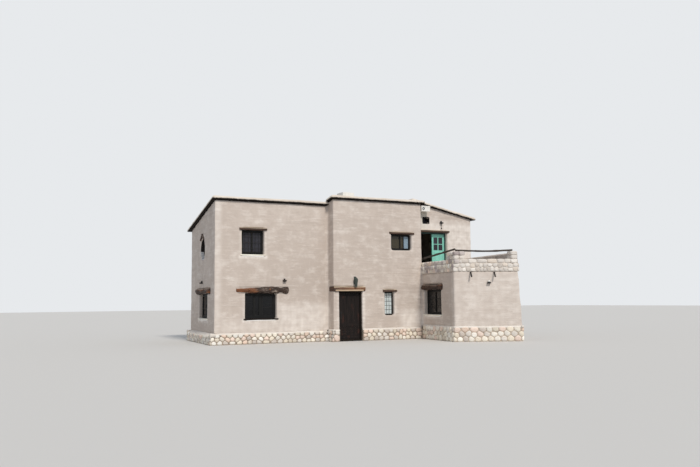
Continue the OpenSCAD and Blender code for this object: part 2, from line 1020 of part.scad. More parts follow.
// The front pole lies on both pillars; the left one lies on the left pillar's
// inner edge and drops to the house wall
module terrace_rail() {
    inner = 150;
    a = terrace_corner(1, inner);
    b = terrace_corner(2, inner);
    wall_end = terrace_corner(0, inner);
    along = unit(wall_end, a);
    run = norm(a - wall_end);
    axis_z = pillar_top + rail_d / 2 + fit_gap;
    lean = norm([tan(terrace_left_skew), rail_drop / run / cos(terrace_left_skew)]);
    start = wall_end + along * (rail_d / 2 * lean + fit_gap);
    end = a - along * (rail_d * 0.56 + fit_gap);
    rise = rail_drop * (left_pillar_l * 1.1 / run);
    color(log_wood)
        centred() {
            pole([a.x, a.y, axis_z], [b.x, b.y, axis_z]);
            pole([end.x, end.y, axis_z + rise],
                 [start.x, start.y, axis_z + rise - rail_drop]);
        }
}

// Pipes from the terrace floor through the wall that turn down outside
module spouts(d) {
    on_wall(TERRACE_FRONT)
        for (x = SPOUT_XS)
            translate([x, terrace_wall_t, upper_floor_z + spout_d / 2])
                rotate([90 + spout_fall, 0, 0]) {
                    cylinder(d = d, h = terrace_wall_t + spout_d, $fn = 24);
                    translate([0, 0, terrace_wall_t + spout_d])
                        rotate([spout_turn, 0, 0])
                            translate([0, 0, -spout_d / 3])
                                cylinder(d = d, h = spout_out, $fn = 24);
                }
}
SPOUT_XS = [700, 1680];
spout_fall = 13;
spout_turn = 35;

module drain_spouts() {
    color(iron)
        difference() {
            spouts(spout_d);
            spouts(spout_bore);
        }
}

// ---- windows ----

module log_lintels() {
    color(log_wood)
        for (w = WINDOWS)
            if (w[5] == LOG)
                on_wall(w[0])
                    log_at(w);
}

module board_lintels() {
    color(timber) {
        for (w = WINDOWS)
            if (w[5] == BOARD)
                on_wall(w[0])
                    board_at(w, -lintel_out);
        centred()
            translate([door_beam_x0, -bay_step - lintel_out, door_top])
                cube([door_beam_x1 - door_beam_x0, wall_t + lintel_out, door_beam_h]);
        on_wall(RIGHT_FRONT)
            terrace_board(-lintel_out);
    }
}

module window_sills() {
    color(plaster)
        for (w = WINDOWS)
            if (w[6])
                on_wall(w[0])
                    sill_at(w, -sill_out, sill_horn);
}

// Frame of a window with a post in the middle when it is wide
module window_frame(w) {
    wide = w[3] > 2 * w[4] / 3 && w[3] > 700;
    translate([w[1], frame_set_back, w[2]])
        difference() {
            cube([w[3], frame_d, w[4]]);
            for (x = wide ? [frame_w, (w[3] + frame_w) / 2] : [frame_w])
                translate([x, -eps, frame_w])
                    cube([wide ? (w[3] - 3 * frame_w) / 2 : w[3] - 2 * frame_w,
                          frame_d + 2 * eps, w[4] - 2 * frame_w]);
        }
}

module window_pane(w) {
    wide = w[3] > 2 * w[4] / 3 && w[3] > 700;
    for (x = wide ? [frame_w, (w[3] + frame_w) / 2] : [frame_w])
        translate([w[1] + x, frame_set_back + (frame_d - glass_t) / 2, w[2] + frame_w])
            cube([wide ? (w[3] - 3 * frame_w) / 2 : w[3] - 2 * frame_w,
                  glass_t, w[4] - 2 * frame_w]);
}

module window_frames() {
    color(dark_paint) {
        for (w = WINDOWS)
            on_wall(w[0])
                window_frame(w);
        on_wall(LEFT_SIDE)
            translate([round_win_x, frame_set_back, round_win_z])
                rotate([-90, 0, 0])
                    difference() {
                        cylinder(d = round_win_d, h = frame_d, $fn = 48);
                        translate([0, 0, -eps])
                            cylinder(d = round_win_d - 2 * frame_w,
                                     h = frame_d + 2 * eps, $fn = 48);
                    }
    }
}

module window_panes() {
    color("#5b6a70") {
        for (w = WINDOWS)
            on_wall(w[0])
                window_pane(w);
        on_wall(LEFT_SIDE)
            translate([round_win_x, frame_set_back + (frame_d - glass_t) / 2,
                       round_win_z])
                rotate([-90, 0, 0])
                    cylinder(d = round_win_d - 2 * frame_w, h = glass_t, $fn = 48);
        both_leaves()
            leaf_lights((ter_leaf_t - glass_t) / 2, glass_t);
    }
}

// Two sticks that meet in a point over the round window
module gable_sticks() {
    stick_d = 60;
    stick_l = 420;
    // Height of the point over the window, and half the gap between the sticks
    rise = 215;
    half_gap = 16;
    // Turn of each stick away from straight up
    turn = 127;
    // Gap to the wall
    wall_gap = 0.3;
    color(log_wood)
        on_wall(LEFT_SIDE)
            for (side = [-1, 1])
                translate([round_win_x + side * half_gap, -stick_d / 2 - wall_gap,
                           round_win_z + round_win_d / 2 + rise])
                    rotate([0, side * turn, 0])
                        cylinder(d = stick_d, h = stick_l, $fn = 12);
}

// ---- entry door ----

leaf_x0 = door_x0 + door_frame_w + leaf_gap;
leaf_x1 = door_x1 - door_frame_w - leaf_gap;
leaf_z0 = ground_floor_z + leaf_gap + 4;
leaf_z1 = door_top - door_frame_w - leaf_gap;
frame_y1 = -bay_step + door_set_back + door_frame_d;
leaf_y1 = frame_y1;
hinge_x = door_x1 - door_frame_w - leaf_gap / 2;
hinge_y = frame_y1 + knuckle_d / 2;
HINGE_ZS = [300, 1050, 1800];
// Length of the hinge plates on the frame and of the straps on the leaf
frame_plate_l = door_frame_w - 5;
strap_l = 300;

module door_frame() {
    color(timber)
        centred()
            difference() {
                translate([door_x0, frame_y1 - door_frame_d, 0])
                    cube([door_w, door_frame_d, door_top]);
                translate([door_x0 + door_frame_w, frame_y1 - door_frame_d - eps,
                           ground_floor_z])
                    cube([door_w - 2 * door_frame_w, door_frame_d + 2 * eps,
                          door_top - door_frame_w - ground_floor_z]);
            }
}

module door_leaf() {
    color(dark_paint)
        centred()
            translate([leaf_x0, leaf_y1 - leaf_t, leaf_z0])
                cube([leaf_x1 - leaf_x0, leaf_t, leaf_z1 - leaf_z0]);
}

// Pins and the knuckles that the door frame carries
module door_hinges() {
    color(iron)
        centred()
            for (z = HINGE_ZS) {
                translate([hinge_x, hinge_y, z])
                    cylinder(d = pin_d, h = 3 * knuckle_h, $fn = 24);
                for (dz = [0, 2 * knuckle_h + pin_gap])
                    translate([0, 0, z + dz]) {
                        translate([hinge_x, hinge_y, 0])
                            cylinder(d = knuckle_d, h = knuckle_h - pin_gap, $fn = 24);
                        translate([hinge_x, frame_y1, 0])
                            cube([frame_plate_l, plate_t, knuckle_h - pin_gap]);
                    }
            }
}

// Straps of the hinges, back plate and handle, which all ride with the leaf
module door_handle() {
    grip_z = 1020;
    grip_l = 180;
    grip_w = 20;
    grip_out = 44;
    grip_t = 14;
    // Back plate: thickness, width and how far it runs past the handle
    back_t = 6;
    back_w = 60;
    back_past = 60;
    // Distance of the back plate from the leaf's free edge
    edge = 60;
    color(iron)
        centred() {
            for (z = HINGE_ZS)
                difference() {
                    union() {
                        translate([hinge_x, hinge_y, z + knuckle_h])
                            cylinder(d = knuckle_d, h = knuckle_h, $fn = 24);
                        translate([hinge_x - strap_l, leaf_y1, z + knuckle_h])
                            cube([strap_l, plate_t, knuckle_h]);
                    }
                    translate([hinge_x, hinge_y, z])
                        cylinder(d = pin_d + 2 * pin_gap, h = 3 * knuckle_h, $fn = 24);
                }
            translate([leaf_x0 + edge, leaf_y1 - leaf_t - back_t, grip_z - back_past])
                cube([back_w, back_t, grip_l + 2 * back_past]);
            translate([leaf_x0 + edge + grip_w, leaf_y1 - leaf_t - back_t - grip_out,
                       grip_z])
                difference() {
                    cube([grip_w, grip_out, grip_l]);
                    translate([-eps, grip_t, grip_w])
                        cube([grip_w + 2 * eps, grip_out, grip_l - 2 * grip_w]);
                }
        }
}

// ---- terrace door ----

module terrace_doorway() {
    translate([ter_door_x, -far / 20, upper_floor_z])
        cube([ter_door_w, far / 10, ter_door_h]);
    terrace_board(-eps);
}

module terrace_board(y0) {
    translate([ter_door_x - board_past, y0, upper_floor_z + ter_door_h])
        cube([ter_door_w + 2 * board_past, lintel_seat - y0, board_h]);
}

module terrace_door_frame() {
    color(aqua_paint)
        on_wall(RIGHT_FRONT)
            translate([ter_door_x, frame_set_back, upper_floor_z])
                difference() {
                    cube([ter_door_w, frame_d, ter_door_h]);
                    translate([frame_w, -eps, -eps])
                        cube([ter_door_w - 2 * frame_w, frame_d + 2 * eps,
                              ter_door_h - frame_w + eps]);
                }
}

ter_leaf_w = ter_door_w / 2 - frame_w - ter_leaf_gap / 5;
ter_leaf_h = ter_door_h - frame_w - ter_leaf_gap;

// The glazed part of a leaf: two lights side by side over the lower panel
module leaf_lights(y0, depth) {
    light_w = (ter_leaf_w - 2.5 * stile) / 2;
    for (x = [stile, stile * 1.5 + light_w])
        translate([x, y0, panel_h])
            cube([light_w, depth, ter_leaf_h - panel_h - top_rail_h]);
}

module terrace_leaf() {
    difference() {
        cube([ter_leaf_w, ter_leaf_t, ter_leaf_h]);
        leaf_lights(-eps, ter_leaf_t + 2 * eps);
    }
}

// Puts children where the closed right leaf and the open left leaf hang
module both_leaves() {
    on_wall(RIGHT_FRONT) {
        translate([ter_door_x + ter_door_w - frame_w, frame_set_back + frame_d / 2,
                   upper_floor_z])
            mirror([1, 0, 0])
                children();
        translate([ter_door_x + frame_w, frame_set_back + frame_d / 2 + ter_leaf_gap,
                   upper_floor_z])
            rotate([0, 0, ter_leaf_angle])
                translate([0, -ter_leaf_t, 0])
                    children();
    }
}

module terrace_door_leaves() {
    color(aqua_paint)
        both_leaves()
            terrace_leaf();
}

// ---- lamps ----

module entry_lantern() {
    x = 1010;
    z = 2300;
    back_t = 15;
    // Height of the roof of the lantern, thickness of its arm, width of its tip
    hat_h = 60;
    arm_t = 20;
    tip_w = 40;
    foot_w = lantern_w * 0.6;
    color(iron)
        on_wall(BAY_FRONT) {
            translate([x - lantern_w / 4, -back_t, z + lantern_h / 3])
                cube([lantern_w / 2, back_t, lantern_h]);
            translate([x - arm_t / 2, -lantern_w / 2 - back_t, z + lantern_h + hat_h])
                cube([arm_t, lantern_w / 2, arm_t]);
            translate([x, -lantern_w / 2 - back_t, z]) {
                cylinder(d1 = foot_w, d2 = lantern_w, h = lantern_h, $fn = 6);
                translate([0, 0, lantern_h])
                    cylinder(d1 = lantern_w, d2 = tip_w, h = hat_h + arm_t, $fn = 6);
            }
        }
}

// Small lamp shade on a bracket, a hair off the wall
module lamp(x, z) {
    translate([x - lamp_w / 2, -lamp_d - fit_gap, z])
        cube([lamp_w, lamp_d, lamp_h]);
    translate([x - lamp_h / 2, -lamp_d / 2 - fit_gap, z + lamp_h])
        cube([lamp_h, lamp_d / 2, lamp_h]);
}

// Lamps: [wall, middle along the wall, underside]
LAMPS = [[LEFT_FRONT, low_win_x + low_win_w + lamp_window_gap, 2530],
         [LEFT_SIDE, round_win_x, 2480],
         [RIGHT_FRONT, ter_door_x + lamp_door_x, vent_z + 30],
         [TERRACE_FRONT, 1450, 2370]];

module wall_lamps() {
    color(iron)
        for (l = LAMPS)
            on_wall(l[0])
                lamp(l[1], l[2]);
}

// ---- the assembly ----

ground_floor();
upper_floor();
terrace_floor();
front_plinth();
side_plinth();
back_plinth();
terrace_front_plinth();
terrace_side_plinth();
left_front_wall();
left_side_wall();
back_wall();
right_side_wall();
right_front_wall();
cross_wall();
bay_pier_wall();
bay_over_door_wall();
bay_front_wall();
bay_return_wall();
terrace_left_wall();
terrace_front_wall();
terrace_right_wall();
roof_decks();
roof_mud();
roof_step_beam();
roof_cap();
rain_box();
terrace_front_parapet();
terrace_side_parapets();
terrace_pillars();
terrace_rail();
drain_spouts();
log_lintels();
board_lintels();
window_sills();
window_frames();
window_panes();
gable_sticks();
door_frame();
door_leaf();
door_hinges();
door_handle();
terrace_door_frame();
terrace_door_leaves();
entry_lantern();
wall_lamps();
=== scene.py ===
import math
import random
from bisect import bisect_right
from contextlib import contextmanager
from itertools import product

import bmesh
import bpy
from mathutils import Matrix, Vector, noise


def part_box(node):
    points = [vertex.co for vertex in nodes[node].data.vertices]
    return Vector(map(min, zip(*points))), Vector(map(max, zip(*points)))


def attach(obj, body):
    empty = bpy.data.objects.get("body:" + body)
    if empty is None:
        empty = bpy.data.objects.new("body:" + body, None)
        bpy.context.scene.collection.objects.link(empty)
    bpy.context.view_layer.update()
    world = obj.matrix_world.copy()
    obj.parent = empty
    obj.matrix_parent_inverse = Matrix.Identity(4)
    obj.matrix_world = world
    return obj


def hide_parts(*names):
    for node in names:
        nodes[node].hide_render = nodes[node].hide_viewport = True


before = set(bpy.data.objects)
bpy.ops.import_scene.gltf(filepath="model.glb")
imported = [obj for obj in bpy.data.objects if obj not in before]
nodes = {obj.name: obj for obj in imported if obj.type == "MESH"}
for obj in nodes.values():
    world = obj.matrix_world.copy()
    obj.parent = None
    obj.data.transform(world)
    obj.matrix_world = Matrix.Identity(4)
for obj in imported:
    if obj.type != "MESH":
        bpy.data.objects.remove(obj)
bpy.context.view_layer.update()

noise.seed_set(31)  # noise_vector takes its offsets from the clock otherwise
UP = Vector((0, 0, 1))
EAST = Vector((1, 0, 0))


def link(name, data):
    obj = bpy.data.objects.new(name, data)
    bpy.context.scene.collection.objects.link(obj)
    return obj


# ---------------------------------------------------------------- camera and light

def place_camera():
    """The photograph's view: 750 px focal length in a 700 px frame, level eye height."""
    cam = bpy.data.cameras.new("camera")
    cam.sensor_width = 36.0
    cam.lens = 750 / 700 * cam.sensor_width
    cam.clip_end = 500
    obj = link("camera", cam)
    turn = Matrix.Rotation(math.radians(-27.7), 4, "Z")
    pitch = Matrix.Rotation(math.radians(90 + 5.07), 4, "X")
    roll = Matrix.Rotation(math.radians(-0.5), 4, "Z")
    obj.matrix_world = Matrix.Translation((-15.394, -28.937, 1.74)) @ turn @ pitch @ roll
    bpy.context.scene.camera = obj


def add_sun():
    """A soft, slightly warm key light on the front, from a little to the left."""
    light = bpy.data.lights.new("key", "SUN")
    light.energy = 2.35
    light.angle = math.radians(9)
    light.color = (1.0, 0.955, 0.89)
    a, e = math.radians(-3), math.radians(43)
    source = Vector((math.sin(a) * math.cos(e), -math.cos(a) * math.cos(e), math.sin(e)))
    link("key", light).rotation_euler = source.to_track_quat("Z", "Y").to_euler()


def set_world():
    """Pale even studio light, with a pale backdrop for the camera, metal and glass."""
    world = bpy.data.worlds.new("studio")
    bpy.context.scene.world = world
    world.use_nodes = True
    g = Nodes(world.node_tree)
    g.tree.nodes.clear()
    fill = g.add("Background", {"Color": (0.80, 0.88, 1.0), "Strength": 0.55})
    seen = g.add("Background", {"Color": (0.80, 0.82, 0.84), "Strength": 1.0})
    ray = g.add("LightPath").node.outputs
    mirrored = g.add("Math", {0: ray["Is Glossy Ray"], 1: ray["Is Transmission Ray"]},
                     operation="ADD", use_clamp=True)
    direct = g.add("Math", {0: ray["Is Camera Ray"], 1: mirrored}, operation="ADD",
                   use_clamp=True)
    surface = g.add("MixShader", {"Fac": direct, 1: fill, 2: seen})
    g.put(g.tree.nodes.new("ShaderNodeOutputWorld"), {"Surface": surface})


def add_floor():
    size = 120
    mesh = bpy.data.meshes.new("floor")
    mesh.from_pydata([(-size, -size, 0), (size, -size, 0), (size, size, 0), (-size, size, 0)],
                     [], [(0, 1, 2, 3)])
    mesh.materials.append(Graph("floor_mat", (0.62, 0.60, 0.57), 0.9).mat)
    link("floor", mesh)


# ---------------------------------------------------------------- materials

class Nodes:
    """A node tree, with short helpers to build it."""

    def __init__(self, tree):
        self.tree = tree

    def put(self, node, inputs):
        """Sets or links inputs, given as values or as sockets."""
        for key, value in inputs.items():
            socket = node.inputs[key]
            if isinstance(value, bpy.types.NodeSocket):
                self.tree.links.new(value, socket)
            elif socket.type == "RGBA":
                socket.default_value = (*value, 1)
            else:
                socket.default_value = value

    def add(self, kind, inputs=(), output=0, **settings):
        """Adds a node and returns one of its outputs."""
        node = self.tree.nodes.new("ShaderNode" + kind)
        for key, value in settings.items():
            setattr(node, key, value)
        self.put(node, dict(inputs))
        return node.outputs[output]


class Graph(Nodes):
    """The nodes of one material, round its shader."""

    def __init__(self, name, color, roughness, metallic=0.0):
        self.mat = bpy.data.materials.new(name)
        self.mat.use_nodes = True
        super().__init__(self.mat.node_tree)
        self.shader = self.tree.nodes["Principled BSDF"]
        self.put(self.shader, {"Base Color": color, "Roughness": roughness,
                               "Metallic": metallic})

    def coords(self, scale, kind="Object"):
        return self.add("Mapping", {"Vector": self.add("TexCoord", output=kind),
                                    "Scale": scale})

    def noise(self, scale, detail=4, vector=None, rough=0.55):
        inputs = {"Scale": scale, "Detail": detail, "Roughness": rough}
        if vector is not None:
            inputs["Vector"] = vector
        return self.add("TexNoise", inputs, "Fac")

    def ramp(self, fac, *stops):
        """Maps fac to greys; the two stops are (position, grey)."""
        result = self.add("ValToRGB", {"Fac": fac}, "Color")
        for element, (position, grey) in zip(result.node.color_ramp.elements, stops):
            element.position = position
            element.color = (grey, grey, grey, 1)
        return result

    def mix(self, fac, a, b):
        return self.add("Mix", {"Factor": fac, 6: a, 7: b}, 2, data_type="RGBA")

    def coats(self, color, *coats):
        """Lays coats of (noise, stop, stop, colour) over a colour."""
        for fac, low, high, coat in coats:
            color = self.mix(self.ramp(fac, low, high), color, coat)
        return color

    def math(self, operation, a, b):
        return self.add("Math", {0: a, 1: b}, operation=operation)

    def attribute(self, name, output):
        return self.add("Attribute", output=output, attribute_name=name)

    def upness(self):
        """1 on faces that look up, 0 on upright ones: where lighter coats go."""
        return self.add("SeparateXYZ", {0: self.add("NewGeometry", output="Normal")}, "Z")

    def finish(self, color, height, distance, strength, roughness=None):
        """Links colour, relief and, if given, roughness to the shader."""
        bump = self.add("Bump", {"Distance": distance, "Strength": strength,
                                 "Height": height})
        self.put(self.shader, {"Base Color": color, "Normal": bump})
        if roughness is not None:
            self.put(self.shader, {"Roughness": roughness})
        return self.mat


def plaster_material(name, tone, pale, dark):
    """Hand-smoothed mud plaster: cloudy patches, level courses and streaks, drips, stains, and
    pale marks, some of which are painted highlights.
    """
    g = Graph(name, tone, 0.93)
    clouds = g.noise(0.50, 5)
    patches = g.noise(1.9, 5, g.coords((1.0, 1.0, 1.5)), 0.6)
    streaks = g.noise(1.0, 7, g.coords((1.5, 1.5, 13.0)), 0.70)
    courses = g.noise(1.0, 3, g.coords((0.30, 0.30, 6.5)))
    drips = g.noise(1.0, 4, g.coords((4.0, 4.0, 0.6)), 0.5)
    grain = g.noise(34, 6, rough=0.7)
    color = g.coats(dark, (clouds, (0.36, 0.0), (0.64, 1.0), tone),
                    (patches, (0.50, 0.0), (0.70, 0.50), pale),
                    (patches, (0.30, 0.60), (0.47, 0.0), dark),
                    (courses, (0.34, 0.55), (0.44, 0.0), dark),
                    (streaks, (0.34, 0.65), (0.46, 0.0), dark),
                    (streaks, (0.56, 0.0), (0.70, 0.60), pale),
                    (drips, (0.60, 0.0), (0.78, 0.22), pale),
                    (grain, (0.30, 0.50), (0.48, 0.0), dark))
    # Pale coat from the vertex marks: paler plaster round openings and in patches, plus
    # painted highlight on the sunlit left-front corner, door jamb and terrace front.
    color = g.mix(g.attribute("pale_wash_and_highlight", "Fac"), color, (0.88, 0.82, 0.76))
    color = g.mix(g.attribute("stain", "Fac"), color, (0.50, 0.53, 0.44))
    relief = g.math("ADD", g.math("MULTIPLY", streaks, 0.8), g.math("MULTIPLY", grain, 0.35))
    return g.finish(color, relief, 0.030, 0.6)


def stone_material():
    """Fieldstone: the tint comes from each stone, with speckle, veins and lighter tops."""
    g = Graph("fieldstone", (0.6, 0.53, 0.45), 0.9)
    speckle = g.noise(26, 7, rough=0.7)
    patch = g.noise(5.0, 4)
    color = g.coats(g.attribute("tint", "Color"),
                    (patch, (0.36, 0.30), (0.56, 0.0), (0.50, 0.41, 0.34)),
                    (speckle, (0.50, 0.0), (0.70, 0.45), (0.93, 0.90, 0.85)),
                    (speckle, (0.30, 0.45), (0.42, 0.0), (0.26, 0.21, 0.18)),
                    (g.upness(), (0.35, 0.0), (0.95, 0.45), (0.84, 0.78, 0.70)))
    return g.finish(color, g.math("ADD", speckle, patch), 0.012, 0.6)


def earth_material(name, light, dark, scale, relief=0.02):
    """Mortar, limewash, roof mud and floors: crumbly earth with straw-coloured flecks."""
    g = Graph(name, light, 0.96)
    lumps = g.noise(scale, 7, rough=0.68)
    color = g.coats(dark, (lumps, (0.34, 0.0), (0.62, 1.0), light),
                    (g.noise(0.9, 4), (0.45, 0.0), (0.72, 0.45), dark))
    return g.finish(color, lumps, relief, 0.8)


def wood_material(name, light, dark, along, roughness=0.8, relief=0.008, top_color=None,
                  patch=None):
    """Wood whose grain runs along U of the UV map, or along an axis of the object; top_color
    is laid on its upward faces, and patch is the colour of freshly bared places."""
    g = Graph(name, light, roughness)
    if along == "uv":
        vector, fine = g.coords((1.2, 14.0, 1.0), "UV"), g.coords((4.0, 60.0, 1.0), "UV")
    else:
        stretch = [1.3 if axis == along else 22.0 for axis in "xyz"]
        vector, fine = g.coords(stretch), g.coords([s * 3 for s in stretch])
    grain, hair = g.noise(1.0, 6, vector, 0.62), g.noise(1.0, 5, fine, 0.7)
    color = g.coats(dark, (grain, (0.36, 0.0), (0.64, 1.0), light))
    if patch:
        color = g.coats(color, (g.noise(3.5, 4), (0.56, 0.0), (0.66, 0.80), patch))
    color = g.coats(color, (hair, (0.36, 0.75), (0.50, 0.0), dark))
    if top_color:
        facing_up = g.math("ADD", g.upness(), g.math("MULTIPLY", grain, 0.5))
        color = g.coats(color, (facing_up, (0.75, 0.0), (1.1, 0.8), top_color))
    return g.finish(color, g.math("ADD", grain, hair), relief, 0.7)


def front_log_material():
    """The big log: bare orange wood on its left third, dark cracked bark with pale flecks."""
    g = Graph("front_log_wood", (0.10, 0.045, 0.025), 0.85)
    place = g.add("SeparateXYZ", {0: g.coords((0.435, 1.0, 1.0), "UV")}, "X")
    reach = g.math("ADD", place, g.math("MULTIPLY", g.noise(3.0, 4), 0.22))
    grain = g.noise(1.0, 6, g.coords((1.4, 11.0, 1.0), "UV"), 0.62)
    hair = g.noise(1.0, 5, g.coords((4.0, 50.0, 1.0), "UV"), 0.7)
    bare = g.coats((0.085, 0.032, 0.018),
                   (grain, (0.36, 0.0), (0.62, 1.0), (0.300, 0.112, 0.040)))
    bark = g.coats((0.012, 0.008, 0.006),
                   (grain, (0.36, 0.0), (0.62, 1.0), (0.075, 0.040, 0.026)),
                   (g.noise(6.5, 5, rough=0.7), (0.56, 0.0), (0.62, 0.75),
                    (0.44, 0.36, 0.30)))
    color = g.coats(bare, (reach, (0.42, 0.0), (0.50, 1.0), bark),
                    (hair, (0.36, 0.85), (0.50, 0.0), (0.014, 0.009, 0.007)))
    return g.finish(color, g.math("ADD", grain, hair), 0.018, 0.8)


def worn_paint_material(name, paint, under, roughness, wear):
    """Old paint with bare wood at its edges and dust in its grain."""
    g = Graph(name, paint, roughness)
    chips = g.noise(14, 8, rough=0.72)
    grain = g.noise(1.0, 5, g.coords((30, 30, 1.6)), 0.6)
    color = g.coats(paint, (grain, (0.35, 0.35), (0.60, 0.0), [c * 0.55 for c in paint]),
                    (chips, (wear, 0.0), (wear + 0.05, 1.0), under))
    return g.finish(color, g.math("ADD", grain, chips), 0.004, 0.5)


def iron_material(name, color, rust, roughness=0.6):
    g = Graph(name, color, roughness, 0.6)
    spots = g.noise(18, 7, rough=0.7)
    return g.finish(g.coats(color, (spots, (0.50, 0.0), (0.68, 1.0), rust)), spots, 0.003,
                    0.5, roughness=g.ramp(spots, (0.3, 0.45), (0.7, 0.85)))


def glass_material(name, tint, roughness=0.08, clear=0.2):
    """Old drawn glass with a slight ripple; its tint is painted to stand for the shade of the
    rooms behind the pane and what the pane reflects, and its lighter cloudy patches are
    painted reflections.
    """
    g = Graph(name, tint, roughness)
    g.put(g.shader, {"Transmission Weight": clear, "IOR": 1.45})
    color = g.coats(tint, (g.noise(7.0, 5), (0.45, 0.0), (0.75, 0.5),
                           [c * 1.8 for c in tint]))
    return g.finish(color, g.noise(2.2, 2), 0.01, 0.25)


PLASTER = plaster_material("mud_plaster", (0.660, 0.575, 0.510), (0.80, 0.735, 0.675),
                           (0.500, 0.425, 0.370))
STONE = stone_material()
FLOOR_EARTH, ROOF_MUD, MORTAR, LIGHT_MORTAR, PALE_MORTAR, HAUNCH, LIME_SILL, LIME_AND_PAINTED_LIGHT = (
    earth_material(*row) for row in (
        ("earth_floor", (0.42, 0.35, 0.28), (0.30, 0.24, 0.19), 6.0),
        ("roof_earth", (0.82, 0.75, 0.66), (0.58, 0.50, 0.42), 11.0, 0.03),
        ("mortar", (0.42, 0.345, 0.275), (0.20, 0.155, 0.12), 16.0),
        ("light_mortar", (0.58, 0.49, 0.40), (0.34, 0.27, 0.21), 16.0),
        ("pale_mortar", (0.72, 0.66, 0.60), (0.52, 0.47, 0.42), 14.0),
        ("haunch_mortar", (0.80, 0.745, 0.68), (0.60, 0.54, 0.48), 15.0),
        ("lime_sill", (0.93, 0.89, 0.78), (0.76, 0.69, 0.58), 12.0, 0.01),
        # Limewash under the sills, and the painted light on the round window's lower rear
        # reveal.
        ("limewash_and_painted_light", (0.95, 0.93, 0.90), (0.86, 0.83, 0.80), 12.0, 0.006)))
FRONT_LOG = front_log_material()
LOG, POLE, CANE, DOOR_PLANK, LINTEL_BOARD, DARK_BOARD, PALE_WOOD = (
    wood_material(*row) for row in (
        ("log_wood", (0.088, 0.038, 0.022), (0.014, 0.009, 0.007), "uv", 0.75, 0.016,
         (0.30, 0.23, 0.18), (0.30, 0.110, 0.040)),
        ("pole_wood", (0.075, 0.055, 0.042), (0.022, 0.017, 0.014), "uv"),
        # Near-black: dark brown cane with the shade of the roof edge painted in.
        ("cane", (0.026, 0.017, 0.012), (0.007, 0.006, 0.005), "uv", 0.8, 0.004),
        ("door_plank", (0.022, 0.015, 0.013), (0.007, 0.006, 0.006), "z", 0.6, 0.006, None,
         (0.045, 0.020, 0.015)),
        ("lintel_board", (0.120, 0.062, 0.038), (0.030, 0.020, 0.016), "uv", 0.82, 0.010,
         (0.72, 0.62, 0.47), (0.26, 0.12, 0.06)),
        # Near-black: dark wood, and on the roof decks the shade of the roof edge painted in.
        ("dark_board", (0.024, 0.017, 0.013), (0.008, 0.007, 0.006), "x", 0.85, 0.010),
        ("pale_wood", (0.60, 0.46, 0.32), (0.36, 0.25, 0.16), "uv", 0.8, 0.006)))
DARK_JOINERY, AQUA, DARK_GREEN, WHITE = (
    worn_paint_material(*row) for row in (
        ("dark_joinery", (0.013, 0.013, 0.013), (0.060, 0.045, 0.036), 0.55, 0.64),
        ("aqua_paint", (0.25, 0.65, 0.53), (0.50, 0.76, 0.68), 0.5, 0.60),
        ("dark_green_paint", (0.012, 0.055, 0.048), (0.05, 0.12, 0.10), 0.5, 0.66),
        ("white_paint", (0.86, 0.84, 0.79), (0.46, 0.38, 0.30), 0.6, 0.65)))
IRON = iron_material("dark_iron", (0.026, 0.026, 0.027), (0.060, 0.032, 0.020))
LANTERN_METAL = iron_material("lantern_metal", (0.060, 0.080, 0.075), (0.11, 0.075, 0.05))
LEAD = iron_material("grey_lead", (0.20, 0.25, 0.30), (0.12, 0.13, 0.14), 0.5)
# Near-black tint: painted shade of the dark rooms behind these panes.
PAINTED_SHADE_GLASS = glass_material("painted_shade_glass", (0.005, 0.005, 0.006), 0.05, 0.5)
BLUE_GLASS = glass_material("blue_glass", (0.040, 0.039, 0.048))
OLIVE_GLASS = glass_material("olive_glass", (0.045, 0.036, 0.018))
SKY_GLASS = glass_material("sky_glass", (0.22, 0.30, 0.37), 0.2, 0.1)
PALE_GLASS = glass_material("pale_glass", (0.60, 0.66, 0.66), 0.3, 0.1)
# Dusty surfaces mirror the pale surroundings less than clean ones.
for dull in (DARK_JOINERY, DOOR_PLANK, DARK_BOARD, CANE, PAINTED_SHADE_GLASS, BLUE_GLASS):
    shader = dull.node_tree.nodes["Principled BSDF"]
    shader.inputs["Specular IOR Level"].default_value = 0.15
STONE_TINTS = [(0.80, 0.72, 0.60), (0.88, 0.83, 0.74), (0.80, 0.62, 0.50),
               (0.84, 0.67, 0.57), (0.70, 0.65, 0.59), (0.92, 0.89, 0.82),
               (0.78, 0.70, 0.57), (0.60, 0.53, 0.47), (0.90, 0.84, 0.72)]
# Darker purple-grey stone tints: painted shade on the left parapet run and the left pillar.
SHADE_TINTS = [(0.42, 0.36, 0.36), (0.52, 0.46, 0.44), (0.36, 0.30, 0.29),
               (0.60, 0.52, 0.46)]
PALE_TINTS = [(0.74, 0.69, 0.63), (0.66, 0.61, 0.56), (0.82, 0.77, 0.71),
              (0.60, 0.54, 0.48), (0.72, 0.63, 0.54)]


# ---------------------------------------------------------------- mesh helpers

@contextmanager
def edited(mesh):
    """The mesh open for editing; it is written back at the end."""
    work = bmesh.new()
    work.from_mesh(mesh)
    yield work
    work.to_mesh(mesh)
    work.free()


def swell(work, amount):
    """Moves each vertex along its normal by amount(position), and shades smoothly."""
    work.normal_update()
    moves = [v.normal * amount(v.co) for v in work.verts]
    for v, move in zip(work.verts, moves):
        v.co += move
    for f in work.faces:
        f.smooth = True


def dress(obj, material, body="root", replaces=()):
    """Gives a piece its material and body, and hides the nodes that it replaces."""
    obj.data.materials.clear()
    obj.data.materials.append(material)
    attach(obj, body)
    if replaces:
        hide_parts(*replaces)


def circle(count, spin=0.0):
    """Cosine and sine of evenly spaced angles, once round."""
    angles = [2 * math.pi * k / count + spin for k in range(count)]
    return [(math.cos(a), math.sin(a)) for a in angles]


def loft(rings):
    """Points and faces of a solid through rings of points; the end faces come last."""
    m, n = len(rings[0]), len(rings) - 1
    faces = [(i * m + k, i * m + (k + 1) % m, (i + 1) * m + (k + 1) % m, (i + 1) * m + k)
             for i in range(n) for k in range(m)]
    faces += [tuple(reversed(range(m))), tuple(range(n * m, (n + 1) * m))]
    return [p for ring in rings for p in ring], faces


